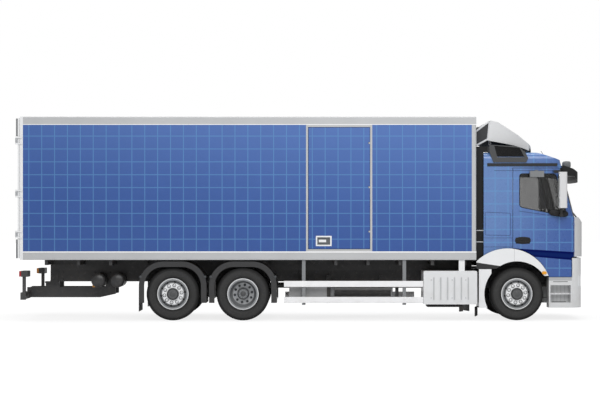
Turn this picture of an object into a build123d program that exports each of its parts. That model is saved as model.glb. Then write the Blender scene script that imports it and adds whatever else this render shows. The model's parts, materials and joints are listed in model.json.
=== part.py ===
from build123d import *
import os
from math import hypot

# Rigid three-axle box truck with a cab over its engine, in millimetres.
# +X points forwards, +Y to the truck's left and +Z up. The origin is on the ground,
# below the middle of the overall length and width.

# Clearances
FIT = 0.3  # a pin in its bore, or a piece on its seat
PANEL_GAP = 10  # round a closed door
RUNNING_GAP = 2  # beside a turning eye or hub

# Axles and wheels
FRONT_AXLE_X = 4150
WHEELBASE = 5280  # front axle to driven axle
TANDEM_SPACING = 1350  # driven axle to tag axle
TYRE_R = 512
TYRE_W = 315
BEAD_R = 286
RIM_W = 240
RIM_FLANGE_R = 302
FRONT_WHEEL_Y = 1020
TAG_WHEEL_Y = 1065
DRIVE_WHEEL_Y = 917  # middle of a pair of wheels
TWIN_SPACING = 350
SPINDLE_R = 50
HUB_R = 115

# Steering
KINGPIN_Y = 850
KINGPIN_R = 22
KNUCKLE_EYE_R = 50
KNUCKLE_EYE_H = 120
STEERING_ARM = 280
ROD_PIN_R = 14
TRACK_ROD_R = 18

# Chassis frame
FINAL_DRIVE_FRONT = 240  # nose of the final drive ahead of its axle
AIR_SPRING_R = 105
RAIL_OUTER_Y = 425
RAIL_FLANGE = 80
RAIL_T = 10
RAIL_Z = 728
RAIL_H = 220
RAIL_FRONT_X = 5150
RAIL_REAR_IN = 464  # rails end ahead of the load body's rear
BEARER_W = 60
BEARER_H = 102
BEARER_PITCH = 620
BEARER_END_IN = 95  # end of a bearer inside the body's side

# Load body
BODY_GAP = 156  # behind the cab
BODY_LENGTH = 8770
BODY_W = 2550
BODY_Z = 1170
BODY_H = 2755
WALL = 70
FLOOR_T = 120
ROOF_T = 90
EDGE_RAIL_H = 165
TOP_RAIL_H = 160
CORNER_POST = 87
REAR_POST = 60
REAR_POST_W = 110
REAR_HEADER_H = 120

# Side door in the right wall
SIDE_DOOR_BACK = 2046  # front edge of the door behind the front of the load body
SIDE_DOOR_L = 1178
SIDE_DOOR_EDGE = 50  # above and below the door, to the edge rails
SIDE_FRAME_W = 37
LATCH_X = (169, 417)  # from the rear edge of the door
LATCH_Z = (77, 221)  # from the foot of the door
LATCH_RIM = (25, 24)  # along the truck, upwards
LATCH_DEPTH = 30
SIDE_HINGE_IN = 315  # outer hinges from the ends of the door

# Rear doors
REAR_DOOR_T = 35
REAR_DOOR_GAP = 5
REAR_HINGE_OUT = 18  # hinge axis beyond the side wall
REAR_HINGE_BACK = 30  # hinge axis behind the closed doors
REAR_PIN_R = 8
REAR_LUG_REACH = 75  # outer end of a hinge lug above or below the hinge's middle
REAR_LUG_H = 30
BUFFER_CLEAR = (96, 87)  # below the lowest hinge's middle, above the top one's
LOCK_ROD_R = 13
LOCK_ROD_Y = (330, 820)
LOCK_GRIP_UP = 850  # grips of the rods above the foot of the load body
BUFFER_T = 38

# Cab
CAB_REAR_X = 3511
CAB_W = 2300
CAB_WALL = 60
CAB_FLOOR_Z = 1230
CAB_FLOOR_T = 60
CAB_ROOF_Z = 3243
CAB_NOSE_X = 5498
WAIST_Z = 1995
SCREEN_FOOT_X = 5325
SCREEN_TOP_X = 5094
SCREEN_TOP_Z = 2897
ROOF_SPLIT_Z = 2946
DOOR_REAR_X = 4077
DOOR_FRONT_X = 5250
DOOR_FOOT_FRONT_X = 5205
DOOR_TOP_FRONT_X = 4975
DOOR_SHOULDER_Z = 1950
DOOR_TOP_Z = 2936
DOOR_FOOT_Z = 843
HINGE_DEPTH = 12  # hinge axis below the outer surface of a door
HINGE_SET = 12.5  # hinge axis behind the front edge of a door
HINGE_CLEARANCE = 5  # round what swings inside a frame
HINGE_PIN_R = 6
HINGE_KNUCKLE_R = 11
HINGE_KNUCKLE_H = 30
CAB_HINGE_HEIGHTS = (1330, 1840)
TILT_X = 5430
TILT_Z = 1172
TILT_PIN_R = 16
TILT_EYE_R = 28
TILT_ARM_Y = 385
GLASS_T = 12
GLASS_INSET = 18

# Cab equipment
RELIEF_OVER_SHOULDER = 110  # hinge relief above the shoulder of a door
WINDOW = ((4202, 2830), (4894, 2830), (5112, 2048), (4768, 2076), (4202, 2190))
WINDOW_R = 45
GRILLE_W = 1440
GRILLE_Z = (1300, 1880)
GRILLE_T = 45
SLAT_PITCH = 88
SLAT_H = 46
HANDLE_X = (4116, 4413)
HANDLE_Z = 1545
MIRROR_X = (4932, 5085)
MIRROR_Z = (2168, 2859)
KERB_MIRROR_X = (4384, 4653)
KERB_MIRROR_Z = (2763, 2880)
VISOR_SIDE = ((4990, 2985), (5075, 2993), (5248, 2936), (5400, 2845), (5496, 2744), (5490, 2667),
              (5421, 2676), (5344, 2724), (5286, 2788), (5152, 2796), (4990, 2850))
VISOR_Y = 1040
DRIP_RAIL_X = (3578, 4930)
DRIP_RAIL_Z = (2975, 3032)
DEFLECTOR_SIDE = ((3590, 3480), (3655, 3867), (3808, 3829), (4192, 3579), (4499, 3320), (4528, 3272),
                  (4442, 3262), (4327, 3310), (4096, 3387))
DEFLECTOR_Y = 1030
HOOP_Y = 840
INTAKE_FRAME = ((3616, 3390), (4096, 3360), (4211, 3328), (4308, 3250), (4366, 3128), (4327, 3051),
                (3693, 3051), (3616, 3262))
INTAKE_MESH = ((3712, 3368), (4205, 3330), (4290, 3147), (3770, 3147))
DASH_SIDE = ((5000, 1700), (5000, 1960), (5070, 2020), (5180, 2010), (5230, 1900), (5230, 1700))
WHEEL_HUB = (4790, 520, 1980)
WHEEL_LEAN = (-0.75, 0, 0.66)
WHEEL_RING_R = 225
SEAT_X = 3990
SEAT_Y = 520
SEAT_Z = 1620
REPEATER = (4672, 920)

# Wheel arch of the cab
ARCH_X = 3970
ARCH_Z = 540
ARCH_R = 850
ARCH_INNER_R = 630
ARCH_OUT = 35  # stands proud of the cab side
ARCH_SKIN = 12
ARCH_REAR_X = 3366
ARCH_REAR_Z = 1000
TUNNEL_INNER_Y = 640
FRONT_GUARD_X = (3415, 3655)
FRONT_GUARD_TOP = 990

# Bumper and steps
BUMPER_FRONT_X = 5482
BUMPER_REAR_X = 5215
BUMPER_Z = 248
BUMPER_TOP_Z = 1205
STEP_REAR_X = 4768
STEP_TOP_Z = 833
STEP_DEPTH = 300
STEP_ROOM_Z = (345, 680)
STEP_PLATE_Z = (500, 530)
BUMPER_CHAMFER = 48
LAMP_X = 5335
LAMP_INNER_Y = 600
LAMP_Z = (651, 880)

# Rear mudguards
GUARD_HALF = 650
GUARD_ROOM = 150  # free of full-width bearers before and behind the guards
GUARD_TOP = 1140
GUARD_FOOT = 344
GUARD_CORNER = 470
GUARD_SKIN = 10
GUARD_FLANGE = 105
GUARD_INNER_Y = 575
GUARD_BAR_R = 20
GUARD_BAR_Z = 843
FLAP_Z = 180

# Equipment between the wheels. A bay is its distances from the driven wheels' guards and the exhaust box.
EXHAUST_X = (2345, 3376)
EXHAUST_Z = (315, 958)
EXHAUST_IN = 25  # inside the load body's side
RIBS = 6
RIB_PITCH = 132
RIB_OUT = 12
FUEL_BAY = (730, 495)
FUEL_Z = (330, 960)
BATTERY_BACK = 237  # from the driven wheels' guards
BATTERY_L = 803
BATTERY_Z = (360, 640)
BATTERY_Y = 1080
STRAP_W = 70
LONG_TANK_BAY = (1120, 610)
LONG_TANK_Y = 760
LONG_TANK_Z = 560
LONG_TANK_R = 112
POST_BAY = (520, 370)
POST_T = 45
SIDE_RAIL_BAY = (141, 9)
SIDE_RAIL_FEET = (344, 651)
SIDE_RAIL_H = 115
SIDE_RAIL_T = 30

# Behind the wheels
CROSS_TANK_BACK = (1463, 1094)  # behind the tag axle
CROSS_TANK_Z = 766
CROSS_TANK_R = 138
CROSS_TANK_IN = 295  # inside the load body's side
COUPLING_Z = (411, 612)
COUPLING_Y = (250, 330)
COUPLING_OUT = 14  # behind the load body
COUPLING_BACK = 1203  # front of the frame behind the tag axle
UNDERRUN_H = 129
PLATE_T = 30
PLATE_Z = 510
BOLT_SPACING_Y = 160
BOLT_SPACING_Z = 100
BOLT_HOLE_R = 10.5
REAR_LAMP_Z = (848, 953)
REAR_LAMP_T = 30

# Values that follow
DRIVE_X = FRONT_AXLE_X - WHEELBASE
TAG_X = DRIVE_X - TANDEM_SPACING
RAIL_TOP = RAIL_Z + RAIL_H
RAIL_INNER_Y = RAIL_OUTER_Y - RAIL_FLANGE
BODY_FRONT_X = CAB_REAR_X - BODY_GAP
BODY_REAR_X = BODY_FRONT_X - BODY_LENGTH
RAIL_REAR_X = BODY_REAR_X + RAIL_REAR_IN
PLATE_X = BODY_REAR_X + 20
BAY_REAR_X = DRIVE_X + GUARD_HALF
BODY_TOP = BODY_Z + BODY_H
BODY_Y = BODY_W / 2
BEARER_END_Y = BODY_Y - BEARER_END_IN
CAB_Y = CAB_W / 2
SIDE_DOOR_FRONT = BODY_FRONT_X - SIDE_DOOR_BACK
SIDE_DOOR_X = SIDE_DOOR_FRONT - SIDE_DOOR_L
SIDE_DOOR_Z = BODY_Z + EDGE_RAIL_H + SIDE_DOOR_EDGE
SIDE_DOOR_TOP = BODY_TOP - TOP_RAIL_H - SIDE_DOOR_EDGE
SIDE_HINGE_HEIGHTS = (SIDE_DOOR_Z + SIDE_HINGE_IN, (SIDE_DOOR_Z + SIDE_DOOR_TOP) / 2,
                      SIDE_DOOR_TOP - SIDE_HINGE_IN)
REAR_HINGE_HEIGHTS = (BODY_Z + 489, BODY_Z + 1276, BODY_TOP - 461)
REAR_DOOR_IN_X = BODY_REAR_X - REAR_DOOR_GAP
REAR_DOOR_OUT_X = REAR_DOOR_IN_X - REAR_DOOR_T
REAR_HINGE_X = REAR_DOOR_OUT_X - REAR_HINGE_BACK
REAR_HINGE_Y = BODY_Y + REAR_HINGE_OUT
HINGE_SWEEP_R = hypot(HINGE_SET, HINGE_DEPTH)  # swept by the front edge of a door


def span(x, y, z):
    """Block between the low and high values given for each axis."""
    sizes = [high - low for low, high in (x, y, z)]
    middle = [(high + low) / 2 for low, high in (x, y, z)]
    return Pos(*middle) * Box(*sizes)


def outline(points, radii=0):
    """Closed flat outline, its corners rounded by one radius or by one for each point."""
    if radii == 0:
        return make_face(Polyline(*points, close=True))
    return make_face(FilletPolyline(*points, radius=radii, close=True))


def along_x(face, low, high):
    """Solid with a Y-Z outline, from one X to another."""
    place = Plane((low, 0, 0), x_dir=(0, 1, 0), z_dir=(1, 0, 0))
    return extrude(place * face, amount=high - low)


def along_y(face, low, high):
    """Solid with an X-Z outline, from one Y to another."""
    place = Plane((0, high, 0), x_dir=(1, 0, 0), z_dir=(0, -1, 0))
    return extrude(place * face, amount=high - low)


def along_z(face, low, high):
    """Solid with an X-Y outline, from one Z to another."""
    return extrude(Pos(0, 0, low) * face, amount=high - low)


def bar_x(y, z, radius, low, high):
    """Round bar along X."""
    return along_x(Pos(y, z) * Circle(radius), low, high)


def bar_y(x, z, radius, low, high):
    """Round bar along Y."""
    return along_y(Pos(x, z) * Circle(radius), low, high)


def bar_z(x, y, radius, low, high):
    """Round bar along Z."""
    return along_z(Pos(x, y) * Circle(radius), low, high)


def joined(shapes):
    """The shapes fused to one."""
    shapes = list(shapes)
    return shapes[0] + shapes[1:] if len(shapes) > 1 else shapes[0]


def flipped(shape):
    """The same piece for the other side of the truck."""
    return mirror(shape, about=Plane.XZ)


def both_sides(shape):
    """A left piece and its right twin."""
    return [shape, flipped(shape)]


def turned(points):
    """Ring from an outline of (radius, place along the axle) points, about the Y axis."""
    return revolve(outline(points), axis=Axis.Y)


def write(node, *shapes):
    """Writes one node, which may hold several separate solids."""
    solids = [solid for shape in shapes for solid in shape.solids()]
    export_step(Compound(solids) if len(solids) > 1 else solids[0], f"parts/{node}.step")


# Wheels

def tyre():
    """Tyre about the Y axis, its bead just clear of the rim."""
    half = TYRE_W / 2
    bead = RIM_W / 2 - 12
    bore = BEAD_R + FIT
    section = [(bore, bead), (RIM_FLANGE_R + 6, bead), (405, half), (TYRE_R - 34, half - 8),
               (TYRE_R, half - 34)]
    return turned(section + [(r, -t) for r, t in reversed(section)])


def rim_barrel(middle):
    """Rim well with a flange at each side, about the Y axis, as (radius, axial) points."""
    well = BEAD_R - 30
    out, low = middle + RIM_W / 2, middle - RIM_W / 2
    return [(well, out), (RIM_FLANGE_R, out), (BEAD_R, out - 12), (BEAD_R, low + 12), (RIM_FLANGE_R, low),
            (well, low)]


def convex_wheel(hub_in):
    """Single wheel whose disc bulges outwards, towards +Y. The hub reaches in to hub_in."""
    well = BEAD_R - 30
    face = 112
    cap = 165
    bore = SPINDLE_R + FIT
    section = rim_barrel(0)
    section += [(well, 45), (205, face - 18), (HUB_R + 12, face - 18), (HUB_R + 12, hub_in), (bore, hub_in),
                (bore, cap - 25), (0, cap - 25), (0, cap), (HUB_R - 20, cap), (HUB_R, cap - 15),
                (HUB_R, face), (205, face), (well, 65)]
    return turned(section)


def twin_wheels():
    """Pair of wheels bolted together, the outer one dished, the outer side towards +Y."""
    half = TWIN_SPACING / 2
    well = BEAD_R - 30
    slope = half - 100
    bore = SPINDLE_R + FIT
    hub_end = 110
    section = rim_barrel(half)
    groove = [(well + 8, half - RIM_W / 2), (212, 0), (well + 8, RIM_W / 2 - half)]
    inner = [(r, -t) for r, t in reversed(rim_barrel(half))]
    core = [(well, -slope), (200, -12), (HUB_R + 12, -12), (HUB_R + 12, -200), (bore, -200),
            (bore, hub_end + 20), (0, hub_end + 20), (0, hub_end + 45), (HUB_R - 25, hub_end + 45),
            (HUB_R, hub_end), (HUB_R, 12), (200, 12), (well, slope)]
    return turned(section[1:-1] + groove + inner[1:] + core + section[:1])


def wheel_at(shape, x, y):
    """A wheel moved to its axle. On the right it turns its outer face to -Y."""
    if y > 0:
        return Pos(x, y, TYRE_R) * shape
    return Pos(x, y, TYRE_R) * Rot(0, 0, 180) * shape


def joined_twin(rubber):
    """The two tyres of a pair of wheels."""
    return [Pos(0, TWIN_SPACING / 2, 0) * rubber, Pos(0, -TWIN_SPACING / 2, 0) * rubber]


def wheels():
    """All tyres and rims."""
    front_hub = KINGPIN_Y + KNUCKLE_EYE_R + 30 + RUNNING_GAP - FRONT_WHEEL_Y
    rubber = tyre()
    pair = joined_twin(rubber)
    table = (("front", "", [rubber], convex_wheel(front_hub), FRONT_AXLE_X, FRONT_WHEEL_Y),
             ("tag", "", [rubber], convex_wheel(-120), TAG_X, TAG_WHEEL_Y),
             ("drive", "s", pair, twin_wheels(), DRIVE_X, DRIVE_WHEEL_Y))
    # columns: axle, ending of the names, tyres, rim, axle place, place across the truck
    for axle, ending, tyres, rim, x, y in table:
        for side, sign in (("left", 1), ("right", -1)):
            write(f"{axle}_{side}_tyre{ending}", *[wheel_at(shape, x, sign * y) for shape in tyres])
            write(f"{axle}_{side}_rim{ending}", wheel_at(rim, x, sign * y))


# Steering

def knuckle():
    """Left steering knuckle: two ears on a kingpin, a stub axle and an arm for the track rod."""
    x, y, z = FRONT_AXLE_X, KINGPIN_Y, TYRE_R
    gap = KNUCKLE_EYE_H / 2 + RUNNING_GAP
    ear = 45
    top = gap + ear
    plate_y = y + KNUCKLE_EYE_R + 5
    pieces = [bar_z(x, y, KINGPIN_R, z - top, z + top)]
    for low in (z - top, z + gap):
        pieces.append(bar_z(x, y, 46, low, low + ear))
        pieces.append(span((x - 46, x + 46), (y, plate_y + 25), (low, low + ear)))
    pieces.append(span((x - 60, x + 60), (plate_y, plate_y + 25), (z - top, z + top)))
    pieces.append(bar_y(x, z, SPINDLE_R, plate_y, FRONT_WHEEL_Y + 130))
    arm_y = y
    arm_z = z - top
    arm = [(x + 46, y + 30), (x - 46, y + 40), (x - STEERING_ARM - 30, arm_y + 28),
           (x - STEERING_ARM - 30, arm_y - 28), (x - 40, y - 46), (x + 46, y - 30)]
    pieces.append(along_z(outline(arm), arm_z, arm_z + 38))
    pieces.append(bar_z(x - STEERING_ARM, arm_y, ROD_PIN_R, arm_z - 46, arm_z))
    return joined(pieces)


def track_rod():
    """Rod with an eye round the pin of each steering arm."""
    x = FRONT_AXLE_X - STEERING_ARM
    y = KINGPIN_Y
    top = TYRE_R - KNUCKLE_EYE_H / 2 - RUNNING_GAP - 45 - RUNNING_GAP
    low = top - 40
    rod = bar_y(x, (top + low) / 2, TRACK_ROD_R, -y, y)
    eyes = [bar_z(x, sign * y, 30, low, top) for sign in (1, -1)]
    bores = [bar_z(x, sign * y, ROD_PIN_R + FIT, low - 5, top + 5) for sign in (1, -1)]
    return joined([rod, *eyes]) - bores


def front_axle():
    """Beam axle with an eye for each kingpin, on two leaf springs under the rails."""
    x = FRONT_AXLE_X
    beam_half = 45
    beam_top = TYRE_R + 48
    pieces = [span((x - beam_half, x + beam_half), (-KINGPIN_Y, KINGPIN_Y), (TYRE_R - 55, beam_top))]
    for sign in (1, -1):
        pieces.append(bar_z(x, sign * KINGPIN_Y, KNUCKLE_EYE_R, TYRE_R - KNUCKLE_EYE_H / 2,
                            TYRE_R + KNUCKLE_EYE_H / 2))
    reach = 720
    rise = 88
    leaf = 40
    lower = ThreePointArc((x - reach, beam_top + rise), (x, beam_top), (x + reach, beam_top + rise))
    upper = ThreePointArc((x - reach, beam_top + rise + leaf), (x, beam_top + leaf),
                          (x + reach, beam_top + rise + leaf))
    ends = [Line(lower @ 0, upper @ 0), Line(lower @ 1, upper @ 1)]
    spring = make_face([lower, upper, *ends])
    spring_y = (RAIL_INNER_Y + 15, RAIL_OUTER_Y - 5)
    for side in (spring_y, (-spring_y[1], -spring_y[0])):
        pieces.append(along_y(spring, *side))
        pieces.append(span((x - beam_half, x + beam_half), side, (beam_top - 10, beam_top + leaf)))
        for end in (x - reach + 30, x + reach - 30):
            pieces.append(span((end - 30, end + 30), side, (beam_top + rise, RAIL_Z)))
    bores = [bar_z(x, sign * KINGPIN_Y, KINGPIN_R + FIT, 0, 2 * TYRE_R) for sign in (1, -1)]
    return joined(pieces) - bores


def rear_axles():
    """Driven axle with its final drive, tag axle, and the air springs on trailing arms."""
    solids = []
    table = ((DRIVE_X, 80, 560, DRIVE_WHEEL_Y + 100), (TAG_X, 70, 900, TAG_WHEEL_Y + 120))
    # columns: axle place, tube radius, end of the tube, end of the spindle
    spring_y = (RAIL_INNER_Y + RAIL_OUTER_Y) / 2
    for x, tube_r, tube_end, spindle_end in table:
        pieces = [bar_y(x, TYRE_R, tube_r, -tube_end, tube_end)]
        pieces.append(bar_y(x, TYRE_R, SPINDLE_R, -spindle_end, spindle_end))
        arm = span((x - 420, x + 420), (RAIL_INNER_Y + 10, RAIL_OUTER_Y - 10), (TYRE_R - 40, TYRE_R + 40))
        pieces += both_sides(arm)
        for place in (x - 340, x + 340):
            pieces += both_sides(bar_z(place, spring_y, AIR_SPRING_R, TYRE_R + 30, RAIL_Z))
        if x == DRIVE_X:
            pieces.append(bar_x(0, TYRE_R, 190, x - 190, x + FINAL_DRIVE_FRONT))
        solids.append(joined(pieces))
    return solids


# Chassis

def bay(distances):
    """X of both ends of a bay between the driven wheels' mudguards and the exhaust box."""
    back, ahead = distances
    return BAY_REAR_X + back, EXHAUST_X[0] - ahead


def chassis_frame():
    """Two channel-section side rails, their cross members, the end plates and the cab's tilt brackets."""
    web = RAIL_OUTER_Y - RAIL_T
    channel = [(RAIL_INNER_Y, RAIL_Z), (RAIL_OUTER_Y, RAIL_Z), (RAIL_OUTER_Y, RAIL_TOP),
               (RAIL_INNER_Y, RAIL_TOP), (RAIL_INNER_Y, RAIL_TOP - RAIL_T), (web, RAIL_TOP - RAIL_T),
               (web, RAIL_Z + RAIL_T), (RAIL_INNER_Y, RAIL_Z + RAIL_T)]
    pieces = both_sides(along_x(outline(channel), RAIL_REAR_X, RAIL_FRONT_X))
    places = (RAIL_REAR_X + 60, TAG_X - 1220, TAG_X - 700, (TAG_X + DRIVE_X) / 2, DRIVE_X + 700)
    for x in (*places, *bay((1280, 145))):
        pieces.append(span((x - 45, x + 45), (-web, web), (RAIL_Z + 40, RAIL_TOP - 40)))
    pieces.append(span((RAIL_FRONT_X - 90, RAIL_FRONT_X), (-web, web), (RAIL_Z + RAIL_T, RAIL_TOP - RAIL_T)))
    end_plate = span((RAIL_REAR_X, RAIL_REAR_X + 160), (RAIL_OUTER_Y, RAIL_OUTER_Y + 12),
                     (RAIL_Z - 20, RAIL_TOP))
    pieces += both_sides(end_plate)
    bracket = [(RAIL_FRONT_X - 160, RAIL_Z + 40), (RAIL_FRONT_X, RAIL_Z + 40), (TILT_X + 22, TILT_Z - 60),
               (TILT_X + 22, TILT_Z + 22), (TILT_X - 22, TILT_Z + 22), (RAIL_FRONT_X - 160, RAIL_TOP)]
    inner = TILT_ARM_Y - 75
    pieces += both_sides(along_y(outline(bracket), inner, inner + 30))
    pieces += both_sides(bar_y(TILT_X, TILT_Z, TILT_PIN_R, inner, TILT_ARM_Y + 30))
    tie = span((RAIL_FRONT_X - 150, RAIL_FRONT_X - 90), (inner, web), (RAIL_Z + 50, RAIL_TOP - 50))
    pieces += both_sides(tie)
    return joined(pieces)


def subframe():
    """Sills of the load body on the rails, with cross bearers that stop short over the wheels."""
    sill_top = BODY_Z - BEARER_H
    sill = span((RAIL_REAR_X, BODY_FRONT_X), (RAIL_INNER_Y, RAIL_OUTER_Y), (RAIL_TOP, sill_top))
    pieces = both_sides(sill)
    start = RAIL_REAR_X + BEARER_W / 2
    count = int((BODY_FRONT_X - RAIL_REAR_X - BEARER_W) // BEARER_PITCH)
    for i in range(count + 1):
        x = start + i * BEARER_PITCH
        over_wheels = TAG_X - GUARD_HALF - GUARD_ROOM < x < DRIVE_X + GUARD_HALF + GUARD_ROOM
        reach = RAIL_OUTER_Y + BEARER_W if over_wheels else BEARER_END_Y
        pieces.append(span((x - BEARER_W / 2, x + BEARER_W / 2), (-reach, reach), (sill_top, BODY_Z)))
    return joined(pieces)


def engine():
    """Engine block on its feet, gearbox and propeller shaft."""
    block = (FRONT_AXLE_X - 480, FRONT_AXLE_X + 750)
    half = 300
    low = TYRE_R + 110
    top = CAB_FLOOR_Z - 60
    web = RAIL_OUTER_Y - RAIL_T
    gearbox_rear = block[0] - 850
    shaft_z = TYRE_R + 128
    pieces = [span(block, (-half, half), (low, top))]
    pieces.append(span((gearbox_rear, block[0]), (-210, 210), (low, top - 200)))
    for x in (block[0] + 160, block[1] - 160):
        pieces.append(span((x - 50, x + 50), (-web, web), (RAIL_Z + 70, RAIL_Z + 150)))
    pieces.append(bar_x(0, shaft_z, 55, DRIVE_X + FINAL_DRIVE_FRONT, gearbox_rear))
    return joined(pieces)


def fuel_tank():
    """Rounded tank on the left side, hung from two straps on the rail."""
    low, high = bay(FUEL_BAY)
    y = (RAIL_OUTER_Y + 90, BODY_Y - 110)
    z = FUEL_Z
    section = outline([(y[0], z[0]), (y[1], z[0]), (y[1], z[1]), (y[0], z[1])], 90)
    pieces = [along_x(section, low, high)]
    for x in (low + 300, high - 300):
        strap_z = (RAIL_Z + 20, RAIL_TOP - 20)
        pieces.append(span((x - 30, x + 30), (RAIL_OUTER_Y, RAIL_OUTER_Y + 150), strap_z))
    pieces.append(bar_z(high - 180, y[1] - 60, 55, z[1] - 10, z[1] + 30))
    return joined(pieces)


def exhaust_box():
    """Ribbed cover over the exhaust silencer on the right side, with its brackets to the rail."""
    low, high = EXHAUST_X
    face = -BODY_Y + EXHAUST_IN
    foot, top = EXHAUST_Z
    inner = -RAIL_OUTER_Y - 120
    cover = outline([(low, foot), (high, foot), (high, top), (low, top)], 30)
    pieces = [along_y(cover, face + RIB_OUT, inner)]
    for i in range(RIBS):
        rib = Pos(low + 195 + i * RIB_PITCH, (foot + top) / 2 - 28.5) * SlotOverall(471, 34, rotation=90)
        pieces.append(along_y(rib, face, face + RIB_OUT + 8))
    for x in (low + 200, high - 200):
        bracket_z = (RAIL_Z + 20, RAIL_TOP - 20)
        pieces.append(span((x - 40, x + 40), (inner - 10, -RAIL_OUTER_Y), bracket_z))
    return joined(pieces)


def air_tanks():
    """Air tanks on the right side: two across the frame behind the wheels, one along it."""
    end = -BODY_Y + CROSS_TANK_IN
    solids = []
    for back in CROSS_TANK_BACK:
        x = TAG_X - back
        pieces = [bar_y(x, CROSS_TANK_Z, CROSS_TANK_R, end, -RAIL_OUTER_Y - 40)]
        pieces.append(bar_y(x, CROSS_TANK_Z, CROSS_TANK_R - 45, end - 30, end + 10))
        bracket_z = (CROSS_TANK_Z - 30, CROSS_TANK_Z + 30)
        pieces.append(span((x - 60, x + 60), (-RAIL_OUTER_Y - 60, -RAIL_OUTER_Y), bracket_z))
        solids.append(joined(pieces))
    low, high = bay(LONG_TANK_BAY)
    long_tank = [bar_x(-LONG_TANK_Y, LONG_TANK_Z, LONG_TANK_R, low, high)]
    arm_z = (LONG_TANK_Z + 80, LONG_TANK_Z + 140)
    for x in (low + 180, high - 175):
        long_tank.append(span((x - 30, x + 30), (60 - LONG_TANK_Y, -RAIL_OUTER_Y), arm_z))
        strut_y = (-RAIL_OUTER_Y - 40, -RAIL_OUTER_Y)
        long_tank.append(span((x - 30, x + 30), strut_y, (arm_z[0], RAIL_Z + 120)))
    solids.append(joined(long_tank))
    return solids


def battery_box():
    """Battery box on the right side with two straps and a bracket to the rail."""
    low = BAY_REAR_X + BATTERY_BACK
    high = low + BATTERY_L
    foot, top = BATTERY_Z
    y = (-BATTERY_Y, -RAIL_OUTER_Y - 130)
    pieces = [along_y(outline([(low, foot), (high, foot), (high, top), (low, top)], 35), *y)]
    half = STRAP_W / 2
    for x in (low + 281, high - half):
        pieces.append(span((x - half, x + half), (y[0] - 12, y[1] + 12), (foot - 25, top + 12)))
        pieces.append(span((x - half, x + half), (y[1] - 50, -RAIL_OUTER_Y), (top - 40, RAIL_Z + 130)))
    return joined(pieces)


def side_guards():
    """Two rails between the wheels on each side, on posts hung from the load body."""
    out = BODY_Y - 12
    back = out - SIDE_RAIL_T
    pieces = []
    for x in bay(POST_BAY):
        pieces.append(span((x - 34, x + 34), (back - POST_T, back), (SIDE_RAIL_FEET[0] - 40, BODY_Z)))
    for foot in SIDE_RAIL_FEET:
        top = foot + SIDE_RAIL_H
        rail = outline([(back, foot), (out, foot), (out, top), (back, top)], 8)
        pieces.append(along_x(rail, *bay(SIDE_RAIL_BAY)))
    return both_sides(joined(pieces))


# Mudguards


def guard_outline(inset):
    """Squarish arch over a rear wheel, about X = 0, drawn in by an inset."""
    half = GUARD_HALF - inset
    top = GUARD_TOP - inset
    corner = GUARD_CORNER - inset
    foot = GUARD_FOOT - (inset > 0) * 10
    return outline([(-half, foot), (-half, top), (half, top), (half, foot)], (0, corner, corner, 0))


def rear_mudguards():
    """Skin, outer flange and carrying bars over the wheels of both rear axles, and the flaps behind."""
    inner_y = GUARD_INNER_Y
    outer_y = BODY_Y - 10
    skin = along_y(guard_outline(0), inner_y, outer_y)
    skin -= along_y(guard_outline(GUARD_SKIN), inner_y - 1, outer_y + 1)
    flange = along_y(guard_outline(0), outer_y - GUARD_SKIN, outer_y)
    flange -= along_y(guard_outline(GUARD_FLANGE), outer_y - 2 * GUARD_SKIN, outer_y + 1)
    arch = [skin, flange]
    place = GUARD_HALF - GUARD_SKIN - GUARD_BAR_R
    for x in (place, -place):
        arch.append(bar_y(x, GUARD_BAR_Z, GUARD_BAR_R + 1, RAIL_OUTER_Y, outer_y - 5))
    left = joined(arch)
    solids = []
    for axle in (DRIVE_X, TAG_X):
        solids += both_sides(Pos(axle, 0, 0) * left)
    flap_x = TAG_X - GUARD_HALF
    flap = span((flap_x, flap_x + GUARD_SKIN), (inner_y, outer_y), (FLAP_Z, GUARD_FOOT))
    solids += both_sides(flap)
    return solids


def arch_ring(inner, outer):
    """Ring about the front wheel's axle between two radii, in the X-Z plane."""
    return Pos(FRONT_AXLE_X, TYRE_R) * (Circle(outer) - Circle(inner))


def front_mudguard():
    """Lower rear half of the left front mudguard, held to the rail."""
    out = CAB_Y + ARCH_OUT
    inner = 720
    rear = FRONT_GUARD_X[0]
    top = FRONT_GUARD_TOP
    band = along_y(arch_ring(ARCH_INNER_R, ARCH_INNER_R + ARCH_SKIN), inner, out)
    cheek = along_y(arch_ring(ARCH_INNER_R, ARCH_INNER_R + 260), out - ARCH_SKIN, out)
    guard = (band + cheek) & span(FRONT_GUARD_X, (inner, out), (BUMPER_Z, top))
    back = span((rear, rear + ARCH_SKIN), (inner, out), (BUMPER_Z, top))
    brace = span((rear, rear + 60), (RAIL_OUTER_Y, inner + 40), (TYRE_R + 230, TYRE_R + 290))
    return joined([guard, back, brace])


# Rear coupling frame


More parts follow.
